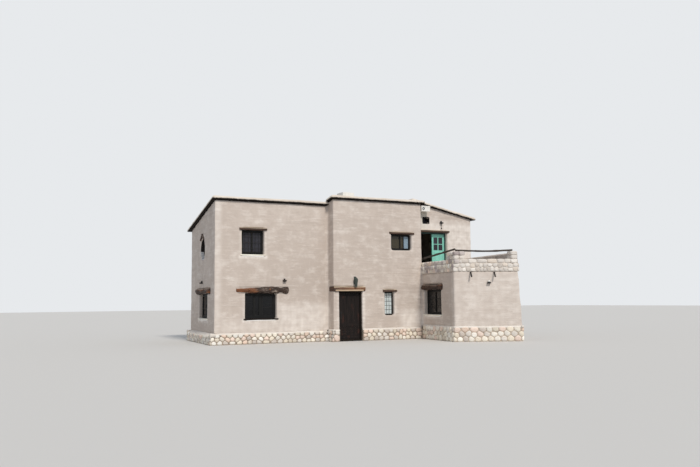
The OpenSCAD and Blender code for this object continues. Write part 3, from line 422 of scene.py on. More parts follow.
class Builder:
    """Collects many small solids into one piece."""

    def __init__(self):
        self.verts, self.faces, self.uvs, self.tints = [], [], [], []

    def add(self, verts, faces, uvs=None, tint=(1, 1, 1)):
        base = len(self.verts)
        self.verts += [tuple(v) for v in verts]
        self.faces += [tuple(base + i for i in f) for f in faces]
        self.uvs += uvs or [(v[0], v[2]) for v in verts]
        self.tints += [tint] * len(verts)

    def box(self, place, x0, x1, y0, y1, z0, z1):
        self.add([place(x, y, z) for z in (z0, z1) for y in (y0, y1) for x in (x0, x1)],
                 [(0, 1, 3, 2), (4, 6, 7, 5), (0, 4, 5, 1), (2, 3, 7, 6),
                  (0, 2, 6, 4), (1, 5, 7, 3)])

    def piece(self, name, material, slot, body="root", replaces=(), smooth=False,
              bevel=0.0):
        """One riding piece of all solids; stones keep a tint for each vertex."""
        mesh = bpy.data.meshes.new(name)
        mesh.from_pydata(self.verts, [], self.faces)
        layer = mesh.uv_layers.new(name="UVMap")
        for loop in mesh.loops:
            layer.data[loop.index].uv = self.uvs[loop.vertex_index]
        if material == STONE:
            layer = mesh.color_attributes.new("tint", "FLOAT_COLOR", "POINT")
            for i, tint in enumerate(self.tints):
                layer.data[i].color = (*tint, 1)
        obj = link(name, mesh)
        with edited(mesh) as clean:
            bmesh.ops.recalc_face_normals(clean, faces=clean.faces)
        for p in mesh.polygons:
            p.use_smooth = smooth
        dress(obj, material, body, replaces)
        if bevel:
            add_bevel(obj, bevel)
        return obj


def add_bevel(obj, width):
    m = obj.modifiers.new("soft_edges", "BEVEL")
    m.width = width
    m.segments = 2
    m.limit_method = "ANGLE"
    m.angle_limit = math.radians(40)


def apply_modifiers(obj):
    depsgraph = bpy.context.evaluated_depsgraph_get()
    result = bpy.data.meshes.new_from_object(obj.evaluated_get(depsgraph))
    obj.modifiers.clear()
    obj.data = result


def skin_of(name, names, voxel):
    """A remeshed copy of some CAD nodes, joined."""
    mesh = bmesh.new()
    for n in names:
        mesh.from_mesh(nodes[n].data)
    bmesh.ops.remove_doubles(mesh, verts=mesh.verts, dist=1e-5)
    data = bpy.data.meshes.new(name)
    mesh.to_mesh(data)
    mesh.free()
    obj = link(name, data)
    m = obj.modifiers.new("remesh", "REMESH")
    m.mode = "VOXEL"
    m.voxel_size = voxel
    m.adaptivity = 0
    apply_modifiers(obj)
    return obj


def roughen(obj, cell, depth):
    """Subdivides a piece to about the cell size and gives it hand-made unevenness."""
    with edited(obj.data) as mesh:
        bmesh.ops.triangulate(mesh, faces=mesh.faces)
        for _ in range(9):
            long_edges = [e for e in mesh.edges if e.calc_length() > cell * 1.6]
            if not long_edges:
                break
            bmesh.ops.subdivide_edges(mesh, edges=long_edges, cuts=1)
            bmesh.ops.triangulate(mesh, faces=[f for f in mesh.faces if len(f.verts) > 3])
        swell(mesh, lambda p: depth * (noise.noise(p * 3.1) + 0.6 * noise.noise(p * 9.0)))


# ---------------------------------------------------------------- reading the CAD nodes

ROUND = 90  # solids with more corners than this are round
UPPER = 3.0  # windows whose centre is higher are on the upper floor
ROOM_TOP = 2.9  # the terrace room's walls end below this height


def vertex_roots(mesh):
    """For each vertex the number of a vertex that stands for its solid."""
    parent = list(range(len(mesh.vertices)))

    def root(i):
        while parent[i] != i:
            parent[i] = parent[parent[i]]
            i = parent[i]
        return i

    by_place = {}
    for v in mesh.vertices:
        key = tuple(round(c, 4) for c in v.co)
        parent[root(v.index)] = root(by_place.setdefault(key, v.index))
    for e in mesh.edges:
        parent[root(e.vertices[0])] = root(e.vertices[1])
    return [root(i) for i in range(len(parent))]


def islands(node):
    """The separate solids of a CAD node, as lists of their vertex positions."""
    mesh = nodes[node].data
    groups = {}
    for v, root in zip(mesh.vertices, vertex_roots(mesh)):
        groups.setdefault(root, []).append(v.co.copy())
    return list(groups.values())


def island_meshes(node):
    """The separate solids of a CAD node, as (points, faces) with shared corners."""
    mesh = nodes[node].data
    roots = vertex_roots(mesh)
    members = {}
    for f in mesh.polygons:
        places, faces = members.setdefault(roots[f.vertices[0]], ({}, []))
        corners = [mesh.vertices[i].co for i in f.vertices]
        keys = [tuple(round(c, 5) for c in co) for co in corners]
        for key, co in zip(keys, corners):
            places.setdefault(key, (len(places), co.copy()))
        faces.append(tuple(places[key][0] for key in keys))
    return [([co for _, co in places.values()], faces) for places, faces in members.values()]


def centre_of(points):
    low = Vector([min(p[i] for p in points) for i in range(3)])
    high = Vector([max(p[i] for p in points) for i in range(3)])
    return (low + high) / 2


def corner(node, direction):
    """Plan place of the lowest vertex of a node that lies furthest in a plan direction."""
    d = Vector((*direction, -0.001))
    return level(max((v.co for v in nodes[node].data.vertices), key=d.dot))


def level(p):
    return Vector((p.x, p.y, 0))


def out_of(along):
    """Level direction out of a wall that runs along, from left to right seen from outside."""
    return Vector((along.y, -along.x, 0))


def wall_direction(points):
    """Plan direction of the longest level edge of a box-like solid."""
    low = min(p.z for p in points)
    base = [p for p in points if p.z - low < 0.002]

    def spread(d):
        values = [p.dot(out_of(d)) for p in base]
        return max(values) - min(values)

    return level(min(((b - a).normalized() for a in base for b in base
                      if (b - a).length > 0.05), key=spread)).normalized()


class Frame:
    """A wall-side frame: x along the wall, y out of the wall, z up."""

    def __init__(self, origin, along):
        self.origin, self.along = origin, along.normalized()
        self.out = out_of(self.along)

    def __call__(self, x, y, z):
        return self.origin + self.along * x + self.out * y + UP * z


def frame_along(points, along):
    """(Frame at the solid's outer face, width, depth, height): origin is its left lower
    corner as seen from outside."""
    out = out_of(along)
    xs, ys, zs = ([p.dot(d) for p in points] for d in (along, out, UP))
    return (Frame(along * min(xs) + out * max(ys) + UP * min(zs), along),
            max(xs) - min(xs), max(ys) - min(ys), max(zs) - min(zs))


def node_frame(node):
    """The same for a whole node that faces the front."""
    low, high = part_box(node)
    return Frame(low.copy(), EAST), *(high - low)


def solid_frame(points):
    """The same for a solid in any wall, whose outer face looks away from its rooms."""
    if len(points) > ROUND:
        along = corner("left_side_wall", (0, -1)) - corner("left_side_wall", (-1, 1))
        along.normalize()
    else:
        along = wall_direction(points)
    middle = ROOM_MIDDLE if on_terrace(points) else HOUSE_MIDDLE
    if out_of(along).dot(centre_of(points) - middle) < 0:
        along = -along
    return frame_along(points, along)


def solids(node):
    """(points, centre, frame, width, depth, height) of each solid of a node."""
    for points in islands(node):
        yield points, centre_of(points), *solid_frame(points)


def on_terrace(points):
    centre = centre_of(points)
    return centre.y < BAY[0].y - 0.1 and centre.z < ROOM_TOP


def on_left_front(centre):
    return centre.x < -2 and centre.y < 0.4


def on_upper_bay(centre):
    return centre.y < -0.2 and centre.z > UPPER


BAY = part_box("bay_front_wall")
HOUSE_MIDDLE = Vector((0, 2.3, 0))
ROOM_MIDDLE = (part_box("terrace_floor")[0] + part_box("terrace_floor")[1]) / 2


# ---------------------------------------------------------------- adobe walls

PLASTER_PIECES = {
    "left_front_plaster": ("left_front_wall", "bay_pier_wall", "bay_over_door_wall"),
    "right_front_plaster": ("bay_front_wall", "right_front_wall", "bay_return_wall"),
    "house_back_plaster": ("left_side_wall", "back_wall", "right_side_wall", "cross_wall"),
    "terrace_room_plaster": ("terrace_left_wall", "terrace_front_wall",
                             "terrace_right_wall")}


def opening_marks():
    """Where the plaster is painted pale or stained: (point, reach, kind, strength); some pale
    marks are painted highlights on sunlit places.
    """
    marks = []
    step = 0.15
    left_low, left_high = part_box("left_front_wall")
    right_low, right_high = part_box("right_front_wall")
    door_low, door_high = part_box("door_frame")
    floor_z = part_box("terrace_floor")[1].z

    def pale_wash_and_highlight(reach, strength, points):
        marks.extend((Vector(p), reach, "pale_wash_and_highlight", strength) for p in points)

    # Painted highlight: a pale strip up the sunlit left-front corner.
    arris = corner("left_front_wall", (-1, -0.2))
    pale_wash_and_highlight(0.22, 0.55, [(arris.x + 0.12, arris.y, step * i)
                      for i in range(int(left_high.z / step))])
    # Painted highlight: pale strips beside the door, strongest on its sunlit right jamb.
    for x, reach, strength in ((door_high.x + 0.03, 0.14, 1.0),
                               (door_low.x - 0.03, 0.12, 0.6)):
        pale_wash_and_highlight(reach, strength, [(x, BAY[0].y, door_high.z * i / 13) for i in range(14)])
    # Painted highlight: the sunlit terrace front made paler all over.
    room_a = corner("terrace_front_wall", (-1, -0.2))
    room_b = corner("terrace_front_wall", (1, -1))
    pale_wash_and_highlight(0.50, 0.42, [room_a.lerp(room_b, (i + 0.5) / 9) + UP * (0.3 + 0.38 * k)
                      for i in range(9) for k in range(7)])
    for x0, x1, y, z0, z1, strength in (
            (left_low.x + 2.9, left_high.x, left_low.y, 0.35, 1.45, 0.62),
            (left_low.x + 0.4, left_low.x + 2.9, left_low.y, 0.35, 0.80, 0.40),
            (BAY[1].x - 0.95, BAY[1].x, BAY[0].y, 0.30, 1.10, 0.75),
            (right_low.x + 0.10, right_high.x, right_low.y, floor_z, 5.3, 0.78)):
        pale_wash_and_highlight(0.35, strength, [(x0 + step * i, y, z0 + step * k)
                              for i in range(int((x1 - x0) / step) + 1)
                              for k in range(int((z1 - z0) / step) + 1)])
    for _, _, place, w, d, h in solids("window_sills"):
        count = max(2, int(w / 0.12))
        pale_wash_and_highlight(0.13, 0.9, [place(w * i / count, -0.03, -0.04) for i in range(count + 1)])
    for _, _, place, w, d, h in solids("window_frames"):
        pale_wash_and_highlight(0.12, 0.45, [place(x, 0.12, h * i / 8) for i in range(9)
                          for x in (-0.03, w + 0.03)])
    box_low, box_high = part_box("rain_box")
    for i, k in product(range(9), range(4)):
        x = box_low.x + (box_high.x - box_low.x) * (0.1 + 0.25 * k)
        marks.append((Vector((x, box_high.y, box_low.z - 0.10 * i)), 0.20, "stain",
                      0.75 * (1 - i / 10)))
    return marks


def paint_marks(mesh, marks):
    """Writes the marks to the vertices near them, as attributes for the plaster's shader."""
    def cell_of(p):
        return tuple(math.floor(c / 0.3) for c in p)

    near = {}
    for mark in marks:
        x, y, z = cell_of(mark[0])
        for dx, dy, dz in product((-1, 0, 1), repeat=3):
            near.setdefault((x + dx, y + dy, z + dz), []).append(mark)
    layers = {kind: mesh.attributes.new(kind, "FLOAT", "POINT") for kind in ("pale_wash_and_highlight", "stain")}
    for v in mesh.vertices:
        ragged = 0.75 + 0.5 * noise.noise(v.co * 5.0)
        value = dict.fromkeys(layers, 0.0)
        for point, reach, kind, strength in near.get(cell_of(v.co), ()):
            far = (v.co - point).length / reach
            if far < 1:
                value[kind] = max(value[kind], strength * (1 - far) * ragged)
        for kind, layer in layers.items():
            layer.data[v.index].value = min(1.0, value[kind])


def build_walls():
    """All adobe as one smoothed skin: soft arrises, wavy faces and rounded reveals."""
    shell = skin_of("adobe_walls", sum(PLASTER_PIECES.values(), ()),
                    0.047)
    with edited(shell.data) as work:
        bmesh.ops.smooth_vert(work, verts=work.verts, factor=0.40, use_axis_x=True,
                              use_axis_y=True, use_axis_z=True)
        swell(work, lambda p: (0.012 * noise.noise(p * 0.8) + 0.006 * noise.noise(p * 2.6)
                               + 0.0025 * noise.noise(p * 7.0) + 0.002))
        for v in work.verts:
            v.co.z = max(v.co.z, 0.0)
    paint_marks(shell.data, opening_marks())
    split_walls(shell)


def split_walls(shell):
    """Cuts the skin into house front, house back and terrace room, along inner corners."""
    bay_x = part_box("bay_return_wall")[1].x
    room_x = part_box("terrace_left_wall")[0].x
    house_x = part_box("cross_wall")[0].x - 1.6
    front_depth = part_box("left_front_wall")[1].y + 1.2

    def piece_at(c):
        outside_bay = c.y < BAY[0].y - 0.01 or c.x > bay_x + 0.01
        if c.z < ROOM_TOP and c.x > room_x and c.y < -0.02 and outside_bay:
            return "terrace_room_plaster"
        if c.y > front_depth:
            return "house_back_plaster"
        return "left_front_plaster" if c.x < house_x else "right_front_plaster"

    for name, members in PLASTER_PIECES.items():
        part = link(name, shell.data.copy())
        with edited(part.data) as cut:
            gone = [f for f in cut.faces if piece_at(f.calc_center_median()) != name]
            bmesh.ops.delete(cut, geom=gone, context="FACES")
        dress(part, PLASTER, replaces=members)
    bpy.data.objects.remove(shell)


# ---------------------------------------------------------------- stonework

def offset_path(points, distances):
    """Moves each leg of an open path sideways, out of the wall, by its distance."""
    legs = [(b - a).normalized() for a, b in zip(points, points[1:])]
    result = [points[0] + out_of(legs[0]) * distances[0]]
    for i, (d0, d1) in enumerate(zip(legs, legs[1:])):
        p = points[i + 1] + out_of(d0) * distances[i]
        gap = points[i + 1] + out_of(d1) * distances[i + 1] - p
        result.append(p + d0 * (gap.dot(out_of(d1)) / d0.dot(out_of(d1))))
    result.append(points[-1] + out_of(legs[-1]) * distances[-1])
    return result


def swept_solid(points, profile):
    """Vertices and faces of a profile of (out, z) points swept along a path with mitres."""
    n, m = len(points), len(profile)
    rails = [[Vector((p.x, p.y, z)) for p in offset_path(points, [out] * (n - 1))]
             for out, z in profile]
    faces = [(i * m + j, (i + 1) * m + j, (i + 1) * m + (j + 1) % m, i * m + (j + 1) % m)
             for i in range(n - 1) for j in range(m)]
    faces += [tuple(range(m)), tuple(reversed(range((n - 1) * m, n * m)))]
    return [rail[i] for i in range(n) for rail in rails], faces


class Ribbon:
    """A path along wall faces with rounded corners; s runs along it, d out of the wall."""

    def __init__(self, points, radius=0.05):
        legs = [(b - a).normalized() for a, b in zip(points, points[1:])]
        self.samples = [(points[0], out_of(legs[0]))]
        for p, d0, d1 in zip(points[1:], legs, legs[1:]):
            start, end = p - d0 * radius, p + d1 * radius
            for t in (0, 0.25, 0.5, 0.75, 1):
                bend = start * (1 - t) ** 2 + p * 2 * t * (1 - t) + end * t ** 2
                self.samples.append((bend, out_of(d0.lerp(d1, t)).normalized()))
        self.samples.append((points[-1], out_of(legs[-1])))
        self.places = [0.0]
        for (a, _), (b, _) in zip(self.samples, self.samples[1:]):
            self.places.append(self.places[-1] + (b - a).length)
        self.length = self.places[-1]

    def at(self, s, z, d):
        s = min(max(s, 0.0), self.length)
        i = min(bisect_right(self.places, s), len(self.places) - 1)
        t = (s - self.places[i - 1]) / (self.places[i] - self.places[i - 1])
        (p, n), (q, m) = self.samples[i - 1:i + 1]
        return level(p.lerp(q, t) + n.lerp(m, t).normalized() * d) + UP * z


def clip(polygon, px, py, nx, ny):
    """Keeps the side of a line, through p with normal n, that the normal points away from."""
    result = []
    for (ax, ay), (bx, by) in zip(polygon, polygon[1:] + polygon[:1]):
        da = (ax - px) * nx + (ay - py) * ny
        db = (bx - px) * nx + (by - py) * ny
        if da <= 0:
            result.append((ax, ay))
        if da * db < 0:
            t = da / (da - db)
            result.append((ax + (bx - ax) * t, ay + (by - ay) * t))
    return result


def mean(cell):
    return [sum(values) / len(cell) for values in zip(*cell)]


def stone_cells(length, top_of, rows, width, rng):
    """Outlines of fitted stones on a strip: relaxed Voronoi cells of staggered seeds."""
    seeds = []
    for row in range(rows):
        s = rng.uniform(0.2, 0.8) * width
        while s < length - 0.3 * width:
            z = (row + 0.5) / rows + rng.uniform(-0.22, 0.22) / rows
            seeds.append((s, z * top_of(s)))
            s += width * rng.uniform(0.62, 1.50)

    def cell_round(sx, sz):
        x0, x1 = max(0, sx - 2 * width), min(length, sx + 2 * width)
        cell = [(x0, 0), (x1, 0), (x1, top_of(x1)), (x0, top_of(x0))]
        for ox, oz in seeds:
            dx, dz = ox - sx, oz - sz
            if (dx or dz) and abs(dx) <= 2.6 * width and len(cell) > 2:
                cell = clip(cell, sx + dx / 2, sz + dz / 2, dx, dz)
        return cell

    cells = [cell_round(*seed) for seed in seeds]
    for _ in range(2):
        seeds = [[a * 0.4 + b * 0.6 for a, b in zip(seed, mean(cell))]
                 if len(cell) > 2 else seed for seed, cell in zip(seeds, cells)]
        cells = [cell_round(*seed) for seed in seeds]
    return [cell for cell in cells if len(cell) > 2]


def ray_length(cell, cx, cz, dx, dz):
    """Distance from a point inside a convex outline to its edge along a direction."""
    hits = []
    for (ax, az), (bx, bz) in zip(cell, cell[1:] + cell[:1]):
        ex, ez = bx - ax, bz - az
        den = dx * ez - dz * ex
        if abs(den) > 1e-12:
            hits.append(((ax - cx) * ez - (az - cz) * ex) / den)
    return min((t for t in hits if t > 0), default=1e9)


def random_place(rng, reach):
    return Vector([rng.uniform(0, reach) for _ in range(3)])


def add_stone(build, ribbon, cell, z_base, face, bulge, joint, rng, tints):
    """One stone: its rounded outline swells from the mortar to a rough crown."""
    sides, root = 14, -0.035
    turns = circle(sides)
    cx, cz = mean(cell)
    rays = [ray_length(cell, cx, cz, *turn) for turn in turns]
    for _ in range(2):
        rays = [min(rays[k], 0.5 * rays[k] + 0.25 * (rays[k - 1] + rays[(k + 1) % sides]))
                for k in range(sides)]
    if min(rays) < joint * 1.4:
        return
    rays = [r - joint * rng.uniform(0.75, 1.35) for r in rays]
    crown = bulge * rng.uniform(0.75, 1.15)
    lean_x, lean_z = rng.uniform(-0.3, 0.3), rng.uniform(-0.3, 0.3)
    jog = random_place(rng, 50)
    rings = []
    for share, depth in ((1.0, root), (1.0, 0.10 * crown), (0.90, 0.55 * crown),
                         (0.68, 0.88 * crown), (0.35, crown)):
        ring = []
        for ray, (c, s) in zip(rays, turns):
            x, z = c * ray * share, s * ray * share
            d = depth * (1 + lean_x * x * 3 + lean_z * z * 3)
            rough = noise.noise(jog + Vector((x * 16, z * 16, depth * 20)))
            if depth > 0:
                d = min(d + rough * 0.008, bulge * 1.15)
            ring.append(ribbon.at(cx + x + rough * 0.004, z_base + cz + z, face + d))
        rings.append(ring)
    verts, faces = loft(rings)
    last, tip = len(verts) - sides, len(verts)
    verts += [ribbon.at(cx, z_base + cz, face + min(crown, bulge * 1.1)),
              ribbon.at(cx, z_base + cz, face + root)]
    faces = faces[:-2]
    for k in range(sides):
        faces += [(last + k, last + (k + 1) % sides, tip), ((k + 1) % sides, k, tip + 1)]
    tint = rng.choice(tints)
    shade = rng.uniform(0.82, 1.1)
    build.add(verts, faces, tint=tuple(min(1.0, c * shade) for c in tint))


def stone_wall(name, points, top_of, z_base, rows, width, bulge, joint, seed, tints, recess,
               replaces=()):
    """One piece of fitted fieldstones whose mortar lies back by the recess."""
    rng = random.Random(seed)
    ribbon = Ribbon(points)
    build = Builder()
    for cell in stone_cells(ribbon.length, top_of, rows, width, rng):
        add_stone(build, ribbon, cell, z_base, -recess, bulge, joint, rng, tints)
    build.piece(name, STONE, "stone", replaces=replaces, smooth=True)


def mortar_run(build, points, low, high, inner, recess):
    """Mortar behind a run of stones, from the recessed face in to the inner face."""
    build.add(*swept_solid(points, [(-recess, low), (-recess, high - 0.03),
                                    (-recess - 0.03, high), (-inner, high), (-inner, low)]))


def haunch(build, a, b, out, top, drop=0.0):
    """Light mortar that slopes from the wall face down to the tops of the stones."""
    low = top - drop
    build.add(*swept_solid([a, b], [(-0.060, low - 0.055), (-0.020, low - 0.040),
                                    (-0.030, low - 0.006), (-out - 0.002, top + 0.034),
                                    (-out - 0.05, top + 0.034), (-out - 0.05, low - 0.055)]))


def build_plinths():
    """Mortar cores, fitted fieldstones and light haunches of all plinths."""
    pier_low, pier_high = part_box("bay_pier_wall")
    wall_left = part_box("left_front_wall")[0].x
    right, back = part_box("right_side_wall")[1].x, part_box("back_wall")[1].y
    out = pier_low.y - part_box("front_plinth")[0].y
    side_out = wall_left - corner("side_plinth", (-1, -0.2)).x
    left_top, bay_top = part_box("back_plinth")[1].z, BAY[0].z
    room_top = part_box("terrace_front_plinth")[1].z
    recess = 0.032
    stones = 3, 0.215, 0.040, 0.009  # courses, width, bulge and joint

    # from the right of the house, round the back and the left, to the door
    outs = [out, out, side_out, out, out, out]
    face = offset_path([Vector((x, y, 0)) for x, y in (
        (right, 0), (right, back), (corner("back_wall", (-1, 1)).x, back), (wall_left, 0),
        (pier_low.x, 0), (pier_low.x, pier_low.y), (pier_high.x, pier_low.y))], outs)
    ends = [0.0]
    for a, b in zip(face, face[1:]):
        ends.append(ends[-1] + (b - a).length)

    def wavy(top):
        """A course top that rises and falls with its stones."""
        return lambda s: top + 0.030 * noise.noise(Vector((s * 2.6, top * 9, 3.3)))

    def house_top(s):
        if s > ends[4]:
            return wavy(bay_top)(s)
        return wavy(left_top)(s) - 0.05 * (ends[2] < s < ends[3])

    stone_wall("house_plinth_stones", face, house_top, 0, *stones, 3, STONE_TINTS, recess)
    core = Builder()
    mortar_run(core, face[:5], 0, left_top - 0.06, 0.55, recess)
    mortar_run(core, face[4:], 0, bay_top - 0.06, 0.55, recess)
    core.piece("house_plinth_core", MORTAR, "stone", replaces=("side_plinth", "back_plinth"))

    # from the door along the bay, then round the terrace room
    bay_face = offset_path([Vector((BAY[0].x, pier_low.y, 0)),
                            Vector((BAY[1].x, pier_low.y, 0)),
                            corner("terrace_front_wall", (-1, -0.2))], [out, out])
    turn = bay_face[1]
    stone_wall("bay_plinth_stones", bay_face[:2], wavy(bay_top), 0, *stones, 5, STONE_TINTS,
               recess, replaces=("front_plinth",))
    core = Builder()
    mortar_run(core, bay_face[:2], 0, bay_top, 0.45, recess)
    core.piece("bay_plinth_core", MORTAR, "stone")

    room_face = [turn, corner("terrace_front_plinth", (-1, -0.1)),
                 corner("terrace_front_plinth", (1, -1)),
                 Vector((corner("terrace_side_plinth", (1, 0.15)).x, 0, 0))]
    stone_wall("terrace_plinth_stones", room_face, wavy(room_top), 0, 3, 0.265, 0.044, 0.006,
               7, STONE_TINTS, recess,
               replaces=("terrace_front_plinth", "terrace_side_plinth"))
    core = Builder()
    mortar_run(core, room_face, 0, room_top, 0.42, recess)
    core.add(*swept_solid([turn + Vector((-0.015, 0.075, 0)),
                           turn + Vector((0.075, -0.015, 0))],
                          [(0.040, 0), (0.030, bay_top - 0.05), (-0.08, bay_top - 0.05),
                           (-0.08, 0)]))
    core.piece("terrace_plinth_core", LIGHT_MORTAR, "stone")

    caps = Builder()
    for i, (a, b) in enumerate(zip(face, face[1:])):
        haunch(caps, a, b, outs[i], bay_top if i > 3 else left_top, 0.05 if i == 2 else 0.0)
    haunch(caps, bay_face[0], turn, out, bay_top)
    for a, b in zip(room_face, room_face[1:]):
        haunch(caps, a, b, 0.06, room_top)
    roughen(caps.piece("plinth_haunches", HAUNCH, "stone"), 0.07, 0.010)


def boulder(build, centre, half, rng, tint, turn):
    """A rounded block of stone: a squared-off sphere with worn, uneven faces."""
    ball = bmesh.new()
    bmesh.ops.create_icosphere(ball, subdivisions=3, radius=1.0)
    jog = random_place(rng, 90)
    spin = Matrix.Rotation(turn, 3, "Z")
    verts = []
    for v in ball.verts:
        p = v.co.normalized()
        p = p.lerp(p / max(map(abs, p)), 0.70)
        p *= 1 + 0.10 * noise.noise(p * 1.1 + jog) + 0.04 * noise.noise(p * 3.4 + jog)
        verts.append(centre + spin @ (p * Vector(half) * 0.97))
    build.add(verts, [tuple(v.index for v in f.verts) for f in ball.faces], tint=tint)
    ball.free()


def build_parapets():
    """Terrace band and coping of whitish stones, a plastered right parapet, two pillars; the
    left run and the left pillar get darker tints as painted shade.
    """
    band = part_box("terrace_front_wall")[1].z
    side_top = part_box("terrace_side_parapets")[1].z
    coping_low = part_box("terrace_pillars")[0].z
    coping_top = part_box("terrace_front_parapet")[1].z
    tall = coping_top - coping_low
    recess = 0.030
    shaded = STONE_TINTS + SHADE_TINTS
    flat = [corner("terrace_side_parapets", (-1, 0.3)),
            corner("terrace_front_parapet", (-1, -0.2)),
            corner("terrace_front_parapet", (1, -1)),
            corner("terrace_side_parapets", (1, 0.2))]
    upper = offset_path(flat, [-0.035] * 3)

    def band_height(s):
        return coping_low - band

    stone_wall("left_band_stones", flat[:2], band_height, band, 2, 0.20, 0.036, 0.008, 11,
               shaded, recess, replaces=("terrace_front_parapet",))
    stone_wall("front_band_stones", flat[1:], band_height, band, 2, 0.19, 0.033, 0.004, 12,
               PALE_TINTS, recess)
    for name, path, low, high, inner in (
            ("parapet_band_mortar", flat, band, coping_low, 0.26),
            ("parapet_coping_mortar", upper[:3], coping_low, coping_top - 0.035, 0.265)):
        core = Builder()
        mortar_run(core, path, low, high, inner, recess)
        core.piece(name, PALE_MORTAR, "stone")

    coping = Builder()
    rng = random.Random(13)
    for a, b, shortest, longest, tints in ((*upper[:2], 0.20, 0.34, shaded),
                                           (*upper[1:3], 0.26, 0.52, PALE_TINTS)):
        d = (b - a).normalized()
        s = 0.0
        while s < (b - a).length - 0.12:
            step = min(rng.uniform(shortest, longest), (b - a).length - s)
            middle = a + d * (s + step / 2) - out_of(d) * 0.14 + UP * (coping_low + tall * 0.5)
            boulder(coping, middle, (step * 0.53, 0.150, tall * 0.53), rng,
                    rng.choice(tints), math.atan2(d.y, d.x))
            s += step
    coping.piece("coping_slabs", STONE, "stone", smooth=True)

    start, end = upper[2:]
    parapet = Builder()
    parapet.add(*swept_solid([start + (end - start).normalized() * 0.06, end],
                             [(0, coping_low), (0.004, side_top - 0.05),
                              (-0.05, side_top), (-0.25, side_top),
                              (-0.295, side_top - 0.05), (-0.30, coping_low)]))
    roughen(parapet.piece("right_parapet_plaster", PLASTER, "plaster",
                          replaces=("terrace_side_parapets",)), 0.05, 0.008)

    pillars = Builder()
    for points in islands("terrace_pillars"):
        place, w, d, h = frame_along(points, wall_direction(points))
        counts = max(1, round(w / 0.25)), max(1, round(d / 0.25)), 3
        x, y, z = (size / count / 2 for size, count in zip((w, d, h), counts))
        right_one = centre_of(points).x > flat[1].x + 1
        # The left pillar mixes in darker tints: painted shade.
        tints = PALE_TINTS[:3] if right_one else PALE_TINTS + SHADE_TINTS[1:]
        for i, j, k in product(*map(range, counts)):
            half = x * rng.uniform(0.98, 1.08), y * rng.uniform(0.98, 1.08), z * 1.08
            turn = math.atan2(place.along.y, place.along.x) + rng.uniform(-0.12, 0.12)
            boulder(pillars, place(x * (2 * i + 1), -y * (2 * j + 1), z * (2 * k + 1)), half,
                    rng, rng.choice(tints), turn)
    pillars.piece("pillar_stones", STONE, "stone", replaces=("terrace_pillars",), smooth=True)


# ---------------------------------------------------------------- roofs and timber

def edge_strips(mesh):
    """Merges coplanar side faces of solids: (outward, low a, low b, high a)."""
    roots = vertex_roots(mesh)
    groups = {}
    for face in mesh.polygons:
        n = face.normal
        if abs(n.z) <= 0.35 and face.area >= 0.02:
            key = (roots[face.vertices[0]], round(n.x, 2), round(n.y, 2),
                   round(n.dot(face.center), 2))
            groups.setdefault(key, []).append(face)
    for members in groups.values():
        n = level(members[0].normal).normalized()
        side = Vector((-n.y, n.x, 0))
        points = [mesh.vertices[i].co for f in members for i in f.vertices]
        places = [round(p.dot(side), 3) for p in points]
        first, last = ([p for p in points if abs(p.dot(side) - place) < 0.004]
                       for place in (min(places), max(places)))
        if max(places) - min(places) >= 0.3:
            yield (n, min(first, key=UP.dot), min(last, key=UP.dot), max(first, key=UP.dot))


def tube(build, path, radii, sides, spin=0.0, rough=0.0):
    """A round solid along a path; its radius varies, and U of its UV map runs along it."""
    rings, uvs, length = [], [], 0.0
    for i, (p, radius) in enumerate(zip(path, radii)):
        before, after = path[max(0, i - 1)], path[min(len(path) - 1, i + 1)]
        forward = (after - before).normalized()
        side = forward.cross(UP)
        side = side.normalized() if side.length > 1e-3 else EAST
        top = side.cross(forward).normalized()
        arms = [side * c + top * s for c, s in circle(sides, spin)]
        rings.append([p + arm * radius * (1 + rough * noise.noise(p * 6.0 + arm * 1.4))
                      for arm in arms])
        length += (p - before).length
        uvs += [(length, k / sides) for k in range(sides)]
    build.add(*loft(rings), uvs)


def rod(build, a, b, radius, sides=8):
    tube(build, [a, b], [radius, radius], sides)


def crooked(build, start, run, steps, offset, radius, sides, spin=0.3, rough=0.0):
    """An uneven tube along a run; offset and radius depend on the place p and the share t."""
    line = [(start + run * (i / steps), i / steps) for i in range(steps + 1)]
    tube(build, [p + offset(p, t) for p, t in line], [radius(p, t) for p, t in line], sides,
         spin, rough)


